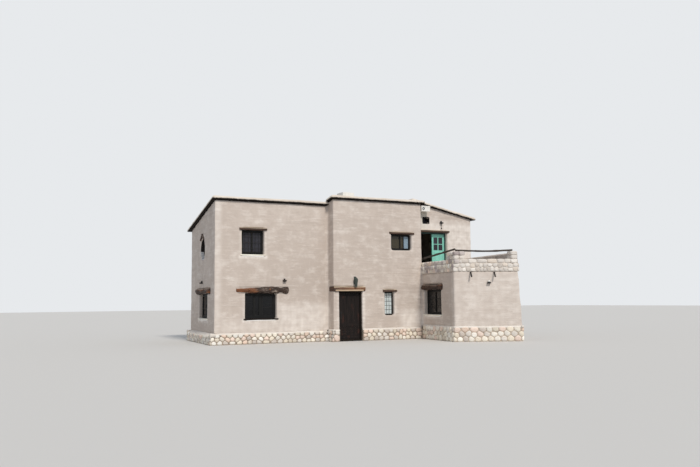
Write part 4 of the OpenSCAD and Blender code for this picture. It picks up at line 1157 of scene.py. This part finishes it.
def build_roofs():
    """Uneven mud skins, and near-black cane and pole edges under them: dark brown wood with
    painted shade.
    """
    mud = skin_of("roof_mud_skin", ["roof_mud"], 0.036)
    mud.modifiers.new("fewer", "DECIMATE").ratio = 0.30
    apply_modifiers(mud)
    with edited(mud.data) as work:
        swell(work, lambda p: 0.012 * noise.noise(p * 1.7) + 0.007 * noise.noise(p * 6.0))
    dress(mud, ROOF_MUD, replaces=("roof_mud",))

    ends, poles, lips = Builder(), Builder(), Builder()
    rng = random.Random(23)
    for out, low_a, low_b, high_a in edge_strips(nodes["roof_decks"].data):
        run = low_b - low_a
        rise = (high_a - low_a).length
        rods = (0.024, 0.024), (0.068, 0.021)
        if abs(out.y) > 0.8:
            rods = ((0.066, 0.022),)
            count = int(run.length / 0.043)
            for i in range(count):
                r, tip = rng.uniform(0.015, 0.021), rng.uniform(0.002, 0.022)
                p = low_a + run * ((i + 0.5) / count) + UP * (0.024
                                                              + rng.uniform(-0.004, 0.004))
                tube(ends, [p - out * 0.03, p + out * tip], [r, r * 0.96], 7,
                     rng.uniform(0, 9))
        for lift, r in rods:
            crooked(poles, low_a + UP * (lift * rise / 0.1), run,
                    max(3, int(run.length / 0.25)),
                    lambda p, t: (noise.noise_vector(p * 1.3 + UP * (lift * 40)) * 0.006
                                  - out * 0.004),
                    lambda p, t: r * (1 + 0.12 * noise.noise(p * 2.1)), 9, lift * 100)
        crooked(lips, high_a, run, max(3, int(run.length / 0.10)),
                lambda p, t: UP * (noise.noise(p * 3.1) * 0.007 - 0.026) - out * 0.020,
                lambda p, t: 0.045 + 0.007 * noise.noise(p * 5.3), 10, rough=0.12)
    lips.piece("roof_mud_lips", ROOF_MUD, "mud", smooth=True)
    ends.piece("roof_cane_ends", CANE, "timber")
    poles.piece("roof_edge_poles", CANE, "timber", smooth=True)


def front_profile(t):
    """Relative thickness of the big log: thin on its left, then a knot, a waist, a fork."""
    bumps = ((0.20, 0.66, 0.10), (0.12, 0.96, 0.05), (-0.18, 0.85, 0.05))
    return 0.52 + 0.46 * min(1.0, t / 0.55) + sum(
        size * math.exp(-((t - middle) / reach) ** 2) for size, middle, reach in bumps)


def plain_profile(t):
    return 0.92 + 0.10 * math.sin(2.2 * math.pi * t + 0.6)


def build_logs():
    """Crooked lintel logs with knots, the big one bedded in plaster, and the sticks."""
    rng = random.Random(31)
    logs, front_log, sticks = Builder(), Builder(), Builder()
    for _, centre, place, w, d, h in solids("log_lintels"):
        front = on_left_front(centre) and w > 1.8
        build, profile = (front_log, front_profile) if front else (logs, plain_profile)
        radius = h / 2

        def offset(p, t):
            sway = noise.noise(Vector((w * t * 0.9, centre.x, centre.y)))
            lift = noise.noise(Vector((w * t * 0.8, centre.y + 7, centre.x)))
            return place.out * 0.024 * sway + UP * 0.030 * lift

        def thickness(p, t):
            worn = min(1.0, min(t, 1 - t) * w / 0.03)
            return radius * profile(t) * (0.86 + 0.14 * math.sqrt(worn))

        if front:
            # The log is thinner than its seat, so plaster fills the seat around it.
            bedding = Builder()
            for x0, x1, z0, z1 in ((0, 1, 0.5, 1), (0, 0.165, 0, 0.5), (0.765, 1, 0, 0.5)):
                bedding.box(place, w * x0, w * x1, -0.95 * d, -0.44 * d, h * z0, h * z1)
            bedding.piece("front_log_bedding", PLASTER, "plaster")
        crooked(build, place(0, -radius, radius), place.along * w, int(w / 0.035), offset,
                thickness, 26, rng.uniform(0, 6), rough=0.22)
        for _ in range(3 if w > 1.5 else 1):
            t = rng.uniform(0.15, 0.85)
            base = place(w * t, -radius * 0.35, radius * 1.15)
            tip = place(w * t + rng.uniform(-0.03, 0.03), 0.012, radius * 1.35)
            tube(build, [base, base.lerp(tip, 0.6), tip],
                 [radius * 0.42, radius * 0.36, radius * 0.22], 12, 1.0, rough=0.2)
    logs.piece("lintel_logs", LOG, "log", replaces=("log_lintels",), smooth=True)
    front_log.piece("front_window_log", FRONT_LOG, "log", smooth=True)

    for _, _, place, w, d, h in solids("gable_sticks"):
        for side in (-1, 1):
            top = place(w / 2 - side * 0.035, -d / 2, h - 0.016)
            foot = place(w / 2 + side * (w / 2 - 0.03), -d / 2, 0.03)
            path = [top.lerp(foot, i / 14) for i in range(15)]
            path = [p + noise.noise_vector(p * 4.0) * 0.008 for p in path]
            tube(sticks, path, [d * (0.47 + 0.10 * noise.noise(p * 5.0)) for p in path],
                 14, 0.4, rough=0.25)
    sticks.piece("round_window_sticks", LOG, "log", replaces=("gable_sticks",), smooth=True)


def plank(build, place, x0, x1, y0, y1, z0, z1, seed, warp):
    """A sawn board with worn, wavy faces; UVs run along its length."""
    along_x = x1 - x0 >= z1 - z0
    length = max(x1 - x0, z1 - z0)
    (a0, a1), (b0, b1) = ((y0, y1), (z0, z1)) if along_x else ((x0, x1), (y0, y1))
    outline = [(a0, b0), (a1, b0), (a1, b1), (a0, b1)]
    soft = min(a1 - a0, b1 - b0) * 0.16
    shape = []
    for i, (a, b) in enumerate(outline):
        for c, d in (outline[i - 1], outline[(i + 1) % 4]):
            run = math.hypot(c - a, d - b)
            shape.append((a + (c - a) / run * soft, b + (d - b) / run * soft))
    rings, uvs = [], []
    count = max(4, int(length / 0.06))
    for s in (length * i / count for i in range(count + 1)):
        ring = []
        for k, (a, b) in enumerate(shape):
            q = Vector((s * 2.2, a * 7 + seed, b * 7 + seed * 0.37))
            a += noise.noise(q) * warp
            b += noise.noise(q + Vector((0, 31, 0))) * warp
            ring.append(place(x0 + s, a, b) if along_x else place(a, b, z0 + s))
            uvs.append((s, k / 8 + seed))
        rings.append(ring)
    build.add(*loft(rings), uvs)


def build_boards():
    """Thin lintel boards, each a rough plank, and a pale strip on the beam over the door."""
    boards, strip = Builder(), Builder()
    door_low, door_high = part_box("door_frame")
    for i, (_, centre, place, w, d, h) in enumerate(solids("board_lintels")):
        plank(boards, place, 0, w, -d, 0.0, 0.0, h, 3.7 * i + 1, 0.016)
        if door_low.x < centre.x < door_high.x and centre.z < door_high.z + 0.5:
            plank(strip, place, 0.06, w - 0.10, -0.01, 0.011, 0.002, 0.062, 5.5, 0.004)
    boards.piece("lintel_boards", LINTEL_BOARD, "timber", replaces=("board_lintels",))
    strip.piece("door_beam_strip", PALE_WOOD, "timber")


def build_sills():
    """Limewashed sills, a wooden one under the left front window, and a pale limewash strip
    under each.
    """
    pale, dark, pale_wash_and_highlight = Builder(), Builder(), Builder()
    for i, (_, centre, place, w, d, h) in enumerate(solids("window_sills")):
        plank(pale_wash_and_highlight, place, w * 0.08, w - w * 0.08, -0.075, -0.018, -0.042, 0.001, 5.1 * i,
              0.007)
        wooden = on_left_front(centre) and centre.z < UPPER
        plank(dark if wooden else pale, place, 0, w, -d, 0.0, 0.0, h, 2.3 * i,
              0.008 if wooden else 0.006)
    pale.piece("plaster_sills", LIME_SILL, "plaster", replaces=("window_sills",),
               smooth=True)
    dark.piece("wooden_sill", DARK_BOARD, "timber")
    pale_wash_and_highlight.piece("sill_limewash", LIME_AND_PAINTED_LIGHT, "white_paint", smooth=True)


# ---------------------------------------------------------------- windows

def sash(build, place, x0, x1, z0, z1, rows=1, wide=0.042):
    """A casement: stiles and rails, with level glazing bars between its rows of panes."""
    left, right, low, high = x0 + wide, x1 - wide, z0 + wide * 1.3, z1 - wide
    for a, b, c, d in ((x0, left, z0, z1), (right, x1, z0, z1), (left, right, z0, low),
                       (left, right, high, z1)):
        build.box(place, a, b, -0.050, -0.010, c, d)
    for r in range(1, rows):
        z = low + (high - low) * r / rows
        build.box(place, left, right, -0.041, -0.018, z - 0.010, z + 0.010)


def iron_grid(build, place, w, h):
    """Wrought iron grid of upright and level rods in front of a window."""
    radius, y, rim, tail = 0.0065, 0.012, 0.03, 0.01
    for c in range(7):
        x = rim + (w - 2 * rim) * c / 6
        rod(build, place(x, y, -tail), place(x, y, h + tail), radius)
    y += radius * 1.2
    for r in range(5):
        z = rim + (h - 2 * rim) * r / 4
        rod(build, place(-tail, y, z), place(w + tail, y, z), radius)


def vent(build, place, w, h, x0, x1, z0, z1):
    """Dark boards that line the vent's reveal as painted shade in it, and five slanting
    louvres.
    """
    reveal = place.origin.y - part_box("right_front_wall")[0].y + 0.014
    thick, lap = 0.016, 0.004
    for a, b, c, d in ((-lap, thick, -lap, h + lap), (w - thick, w + lap, -lap, h + lap),
                       (thick, w - thick, -lap, thick),
                       (thick, w - thick, h - thick, h + lap)):
        build.box(place, a, b, -0.002, reveal, c, d)
    for k in range(5):
        z = z0 + (z1 - z0) * (k + 0.5) / 5
        build.add(*loft([[place(x, y, z + dz) for y, dz in (
            (-0.012, -0.014), (-0.006, -0.014), (-0.048, 0.014), (-0.054, 0.014))]
            for x in (x0, x1)]))


def build_windows():
    """Sashes, bars, grids and louvres; the place and size of a frame tell its kind."""
    wood, iron, louvres = Builder(), Builder(), Builder()
    frame_width = 0.06
    for points, centre, place, w, d, h in solids("window_frames"):
        x0, x1, z0, z1 = frame_width, w - frame_width, frame_width, h - frame_width
        middle = (x0 + x1) / 2
        if len(points) > ROUND:
            reach = w / 2 - 0.05
            wood.box(place, w / 2 - 0.016, w / 2 + 0.016, -0.046, -0.014, h / 2 - reach,
                     h / 2 + reach)
            wood.box(place, w / 2 - reach, w / 2 + reach, -0.044, -0.016, h / 2 - 0.016,
                     h / 2 + 0.016)
        elif h < 0.35:
            vent(louvres, place, w, h, x0, x1, z0, z1)
        elif w < 0.6:
            for c in (1, 2):
                x = x0 + (x1 - x0) * c / 3
                iron.box(place, x - 0.006, x + 0.006, -0.030, -0.016, z0, z1)
            for r in range(1, 5):
                z = z0 + (z1 - z0) * r / 5
                iron.box(place, x0, x1, -0.028, -0.018, z - 0.006, z + 0.006)
        elif on_left_front(centre) and centre.z < UPPER:
            third, split = (x0 + (x1 - x0) * share for share in (0.30, 0.56))
            sash(wood, place, x0, third, z0, z1, 3)
            sash(wood, place, third + 0.004, split, z0, z1, wide=0.055)
            sash(wood, place, split + 0.004, x1, z0, z1, 5, wide=0.060)
        elif on_upper_bay(centre):
            split = middle + 0.03 + (x1 - middle - 0.03) * 0.36
            sash(wood, place, x0, middle, z0, z1, wide=0.030)
            sash(wood, place, middle, x1, z0, z1, wide=0.030)
            wood.box(place, split - 0.02, split + 0.02, -0.050, -0.010, z0, z1)
        else:
            gridded = on_left_front(centre)
            rows = 1 if gridded else 3 if h > 0.8 else 2
            sash(wood, place, x0, middle - 0.003, z0, z1, rows)
            sash(wood, place, middle + 0.003, x1, z0, z1, rows)
            if gridded:
                iron_grid(iron, place, w, h)
            else:
                rod(iron, place(middle + 0.02, 0.004, h / 2 - 0.05),
                    place(middle + 0.02, 0.004, h / 2 + 0.05), 0.007)
    wood.piece("window_sashes", DARK_JOINERY, "dark_paint", bevel=0.003)
    iron.piece("window_iron", IRON, "iron")
    louvres.piece("vent_louvres_and_shade_lining", DARK_JOINERY, "dark_paint", bevel=0.0015)


def build_round_lining():
    """The round window's reveal: a dark iron hoop that paints the shade of the deep reveal,
    and a white patch low on its rear side that paints the sunlit part of the reveal.
    """
    shade_hoop, lit_patch = Builder(), Builder()
    for points, _, place, w, d, h in solids("window_frames"):
        if len(points) <= ROUND:
            continue
        to_back = math.copysign(1, place.along.y)
        outer = w / 2 + 0.004
        for build, first, turn, steps, thick in ((shade_hoop, -8, 250, 42, 0.010),
                                                 (lit_patch, -112, 103, 18, 0.014)):
            inner = w / 2 - thick
            rings = []
            for i in range(steps + 1):
                a = math.radians(first + turn * i / steps)
                rings.append([place(w / 2 + to_back * math.cos(a) * r, y,
                                    h / 2 + math.sin(a) * r)
                              for r, y in ((outer, 0.128), (outer, -0.005), (inner, -0.005),
                                           (inner, 0.128))])
            build.add(*loft(rings))
    shade_hoop.piece("round_window_shade_hoop", IRON, "iron")
    lit_patch.piece("round_window_painted_light", LIME_AND_PAINTED_LIGHT, "white_paint")


def build_panes():
    """The glass in its CAD shape, tinted as each window shows it."""
    black, blue, olive, sky, pale = (Builder() for _ in range(5))
    for points, faces in island_meshes("window_panes"):
        place, w, d, h = solid_frame(points)
        centre = centre_of(points)
        if on_upper_bay(centre):
            split = w * 0.36 if place.origin.x > 2.0 else w
            olive.box(place, 0, split, -d, 0, 0, h)
            if split < w:
                sky.box(place, split, w, -d, 0, 0, h)
        elif centre.y < -0.2 and w < 0.6 and not on_terrace(points):
            pale.add(points, faces)
        elif centre.y < 0.9 and centre.z > UPPER and len(points) < 20:
            blue.add(points, faces)
        else:
            black.add(points, faces)
    black.piece("dark_panes", PAINTED_SHADE_GLASS, "glass", replaces=("window_panes",))
    blue.piece("blue_panes", BLUE_GLASS, "glass")
    olive.piece("bay_upper_pane", OLIVE_GLASS, "glass")
    sky.piece("bay_side_pane", SKY_GLASS, "glass")
    pale.piece("slit_pane", PALE_GLASS, "glass")


# ---------------------------------------------------------------- doors

def build_entry_door():
    """Plank door: stiles and rails, upright planks above and level planks below."""
    place, w, t, h = node_frame("door_leaf")
    leaf, studs = Builder(), Builder()
    stile, rail, kick = 0.115, 0.15, 0.52
    lock, top = kick + 0.13, h - 0.13
    uprights, rows, gap = 6, 4, 0.002
    for i, (x0, x1) in enumerate(((0, stile), (w - stile, w))):
        plank(leaf, place, x0, x1, -t, 0.0, 0.0, h, 1.0 + i, 0.002)
    for i, (z0, z1) in enumerate(((0, rail), (kick, lock), (top, h))):
        plank(leaf, place, stile, w - stile, -t, -0.001, z0, z1, 4.0 + i, 0.002)
    wide, tall = (w - 2 * stile) / uprights, (kick - rail) / rows
    for i in range(uprights):
        plank(leaf, place, stile + i * wide + gap, stile + (i + 1) * wide - gap, -t + 0.006,
              -0.013, lock, top, 9.0 + i * 1.7, 0.003)
    for i in range(rows):
        plank(leaf, place, stile, w - stile, -t + 0.006, -0.013, rail + i * tall + gap,
              rail + (i + 1) * tall - gap, 20.0 + i * 2.1, 0.003)
    leaf.piece("entry_door_planks", DOOR_PLANK, "dark_paint", "entry_door", ("door_leaf",))
    for z in (kick + 0.065, h - 0.065, rail / 2):
        for i in range(uprights + 1):
            tube(studs, [place(stile + i * wide, y, z) for y in (-0.002, 0.004, 0.007)],
                 [0.011, 0.009, 0.003], 8)
    studs.piece("entry_door_studs", IRON, "iron", "entry_door")


def build_terrace_door():
    """Glazing bars and the moulded lower panels of the two aqua leaves."""
    trim = Builder()
    for points in islands("terrace_door_leaves"):
        along = wall_direction(points)
        place, w, d, h = frame_along(points, -along if along.x < 0 else along)
        top = 0.53 * h
        for y0, y1 in ((-0.004, 0.010), (-d - 0.010, -d + 0.004)):
            for x0, x1, z0, z1 in ((0.10, w - 0.10, 0.10, 0.125),
                                   (0.10, w - 0.10, top, top + 0.025),
                                   (0.10, 0.125, 0.125, top),
                                   (w - 0.125, w - 0.10, 0.125, top)):
                trim.box(place, x0, x1, y0, y1, z0, z1)
        trim.box(place, 0.08, w - 0.08, -d * 0.85, -d * 0.15, 0.745 * h, 0.745 * h + 0.03)
    trim.piece("terrace_door_trim", AQUA, "aqua_paint", bevel=0.002)


# ---------------------------------------------------------------- small things

def stick_axis(points):
    """Mean points of the two ends of a long prism."""
    far_a, far_b = max(product(points[::2], repeat=2),
                       key=lambda pair: (pair[0] - pair[1]).length)
    axis = (far_b - far_a).normalized()
    reach = (far_b - far_a).length * 0.2
    ends = [[p for p in points if (p - far_a).dot(axis) < reach],
            [p for p in points if (far_b - p).dot(axis) < reach]]
    return [sum(end, Vector()) / len(end) for end in ends]


def build_rail():
    """Crooked poles in place of the straight rails of the CAD."""
    poles = Builder()
    for points in islands("terrace_rail"):
        a, b = stick_axis(points)
        run = b - a
        axis = run.normalized()
        radius = sum(((p - a) - axis * (p - a).dot(axis)).length for p in points) / len(points)
        sag = 0.045 if abs(axis.z) < 0.02 else 0
        crooked(poles, a, run, int(run.length / 0.06),
                lambda p, t: (noise.noise_vector(p * 1.1) * 0.016 * math.sin(math.pi * t)
                              + UP * (0.004 - sag * math.sin(math.pi * t))),
                lambda p, t: radius * (0.86 + 0.16 * noise.noise(p * 2.4)
                                       + 0.10 * (abs(noise.noise(p * 5.1)) > 0.42)),
                16, rough=0.16)
    poles.piece("rail_poles", POLE, "log", replaces=("terrace_rail",), smooth=True)


def build_rain_box():
    """Lid, rim and outlet collar on the white rain box."""
    place, w, d, h = node_frame("rain_box")
    rim, pipe = Builder(), Builder()
    rim.box(place, -0.008, w + 0.004, -0.02, 0.012, h - 0.050, h - 0.002)
    for x in (0.02, w - 0.035):
        rim.box(place, x, x + 0.015, -0.004, 0.008, 0.02, h - 0.05)
    rim.piece("rain_box_rim", WHITE, "white_paint", bevel=0.004)
    verts, faces = loft([[place(w * 0.25 + c * r, y, h * 0.5 + s * r) for c, s in circle(20)]
                         for r, y in ((0.062, -0.01), (0.066, 0.012), (0.060, 0.020),
                                      (0.050, 0.020), (0.048, -0.05))])
    pipe.add(verts, faces[:-2])
    pipe.piece("rain_box_outlet", LEAD, "iron", smooth=True)


def build_lantern():
    """The six-sided lantern's bars and rings, on the CAD's bracket."""
    low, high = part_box("entry_lantern")
    size = high - low
    metal = Builder()
    axis = Vector(((low.x + high.x) / 2, low.y + size.y * 0.42, 0))
    foot, head = [[axis + Vector((c * r, s * r, z)) for c, s in circle(6)]
                  for z, r in ((low.z + size.z * 0.22, 0.052), (low.z + size.z * 0.70, 0.078))]
    for a, b in zip(foot, head):
        rod(metal, a, b, 0.006, 6)
    for ring in (foot, head):
        tube(metal, ring + ring[:1], [0.007] * 7, 6)
    metal.piece("lantern_bars", LANTERN_METAL, "iron")


def build_lamp_parts():
    """A bowl under the front lamp, a pull rod at the upper one, a white cap on the spot."""
    dark, white = Builder(), Builder()
    for _, centre, place, w, d, h in solids("wall_lamps"):
        build, profile = dark, ()
        if centre.y < -1:
            build, profile = white, ((h + 0.012, 0.010), (h + 0.004, 0.036),
                                     (h * 0.86, 0.052), (h * 0.66, 0.058), (h * 0.60, 0.050))
        elif centre.z > 4:
            profile = ((0.01, 0.010), (-0.20, 0.009), (-0.21, 0.022), (-0.25, 0.024),
                       (-0.262, 0.010))
        elif centre.x > -6:
            profile = ((h * 0.52, 0.078), (h * 0.30, 0.074), (h * 0.05, 0.056),
                       (-0.012, 0.030), (-0.020, 0.008))
        if profile:
            tube(build, [place(w / 2, -d * 0.5, z) for z, _ in profile],
                 [r for _, r in profile], 16)
    dark.piece("lamp_parts", IRON, "iron", smooth=True)
    white.piece("spot_lamp_cap", WHITE, "white_paint", smooth=True)


def dress_cad_nodes():
    """Materials and soft edges for the nodes that are shown in their CAD shape."""
    for material, bevel, names in (
            (FLOOR_EARTH, 0, ("ground_floor", "upper_floor", "terrace_floor")),
            # The decks' near-black includes painted shade of the roof edge.
            (DARK_BOARD, 0.006, ("roof_decks", "roof_step_beam", "door_frame")),
            (WHITE, 0.012, ("roof_cap", "rain_box")),
            (DARK_JOINERY, 0.004, ("window_frames",)),
            (DARK_GREEN, 0.004, ("terrace_door_frame",)),
            (AQUA, 0.004, ("terrace_door_leaves",)),
            (LANTERN_METAL, 0.002, ("entry_lantern",)),
            (IRON, 0.002, ("wall_lamps", "drain_spouts", "door_hinges", "door_handle"))):
        for name in names:
            nodes[name].data.materials.clear()
            nodes[name].data.materials.append(material)
            if bevel:
                add_bevel(nodes[name], bevel)


for step in (place_camera, set_world, add_sun, add_floor, build_walls, build_plinths,
             build_parapets, build_roofs, build_logs, build_boards, build_sills,
             build_windows, build_round_lining, build_panes, build_entry_door,
             build_terrace_door, build_rail, build_rain_box, build_lantern,
             build_lamp_parts, dress_cad_nodes):
    step()
bpy.context.scene.view_settings.view_transform = "Standard"
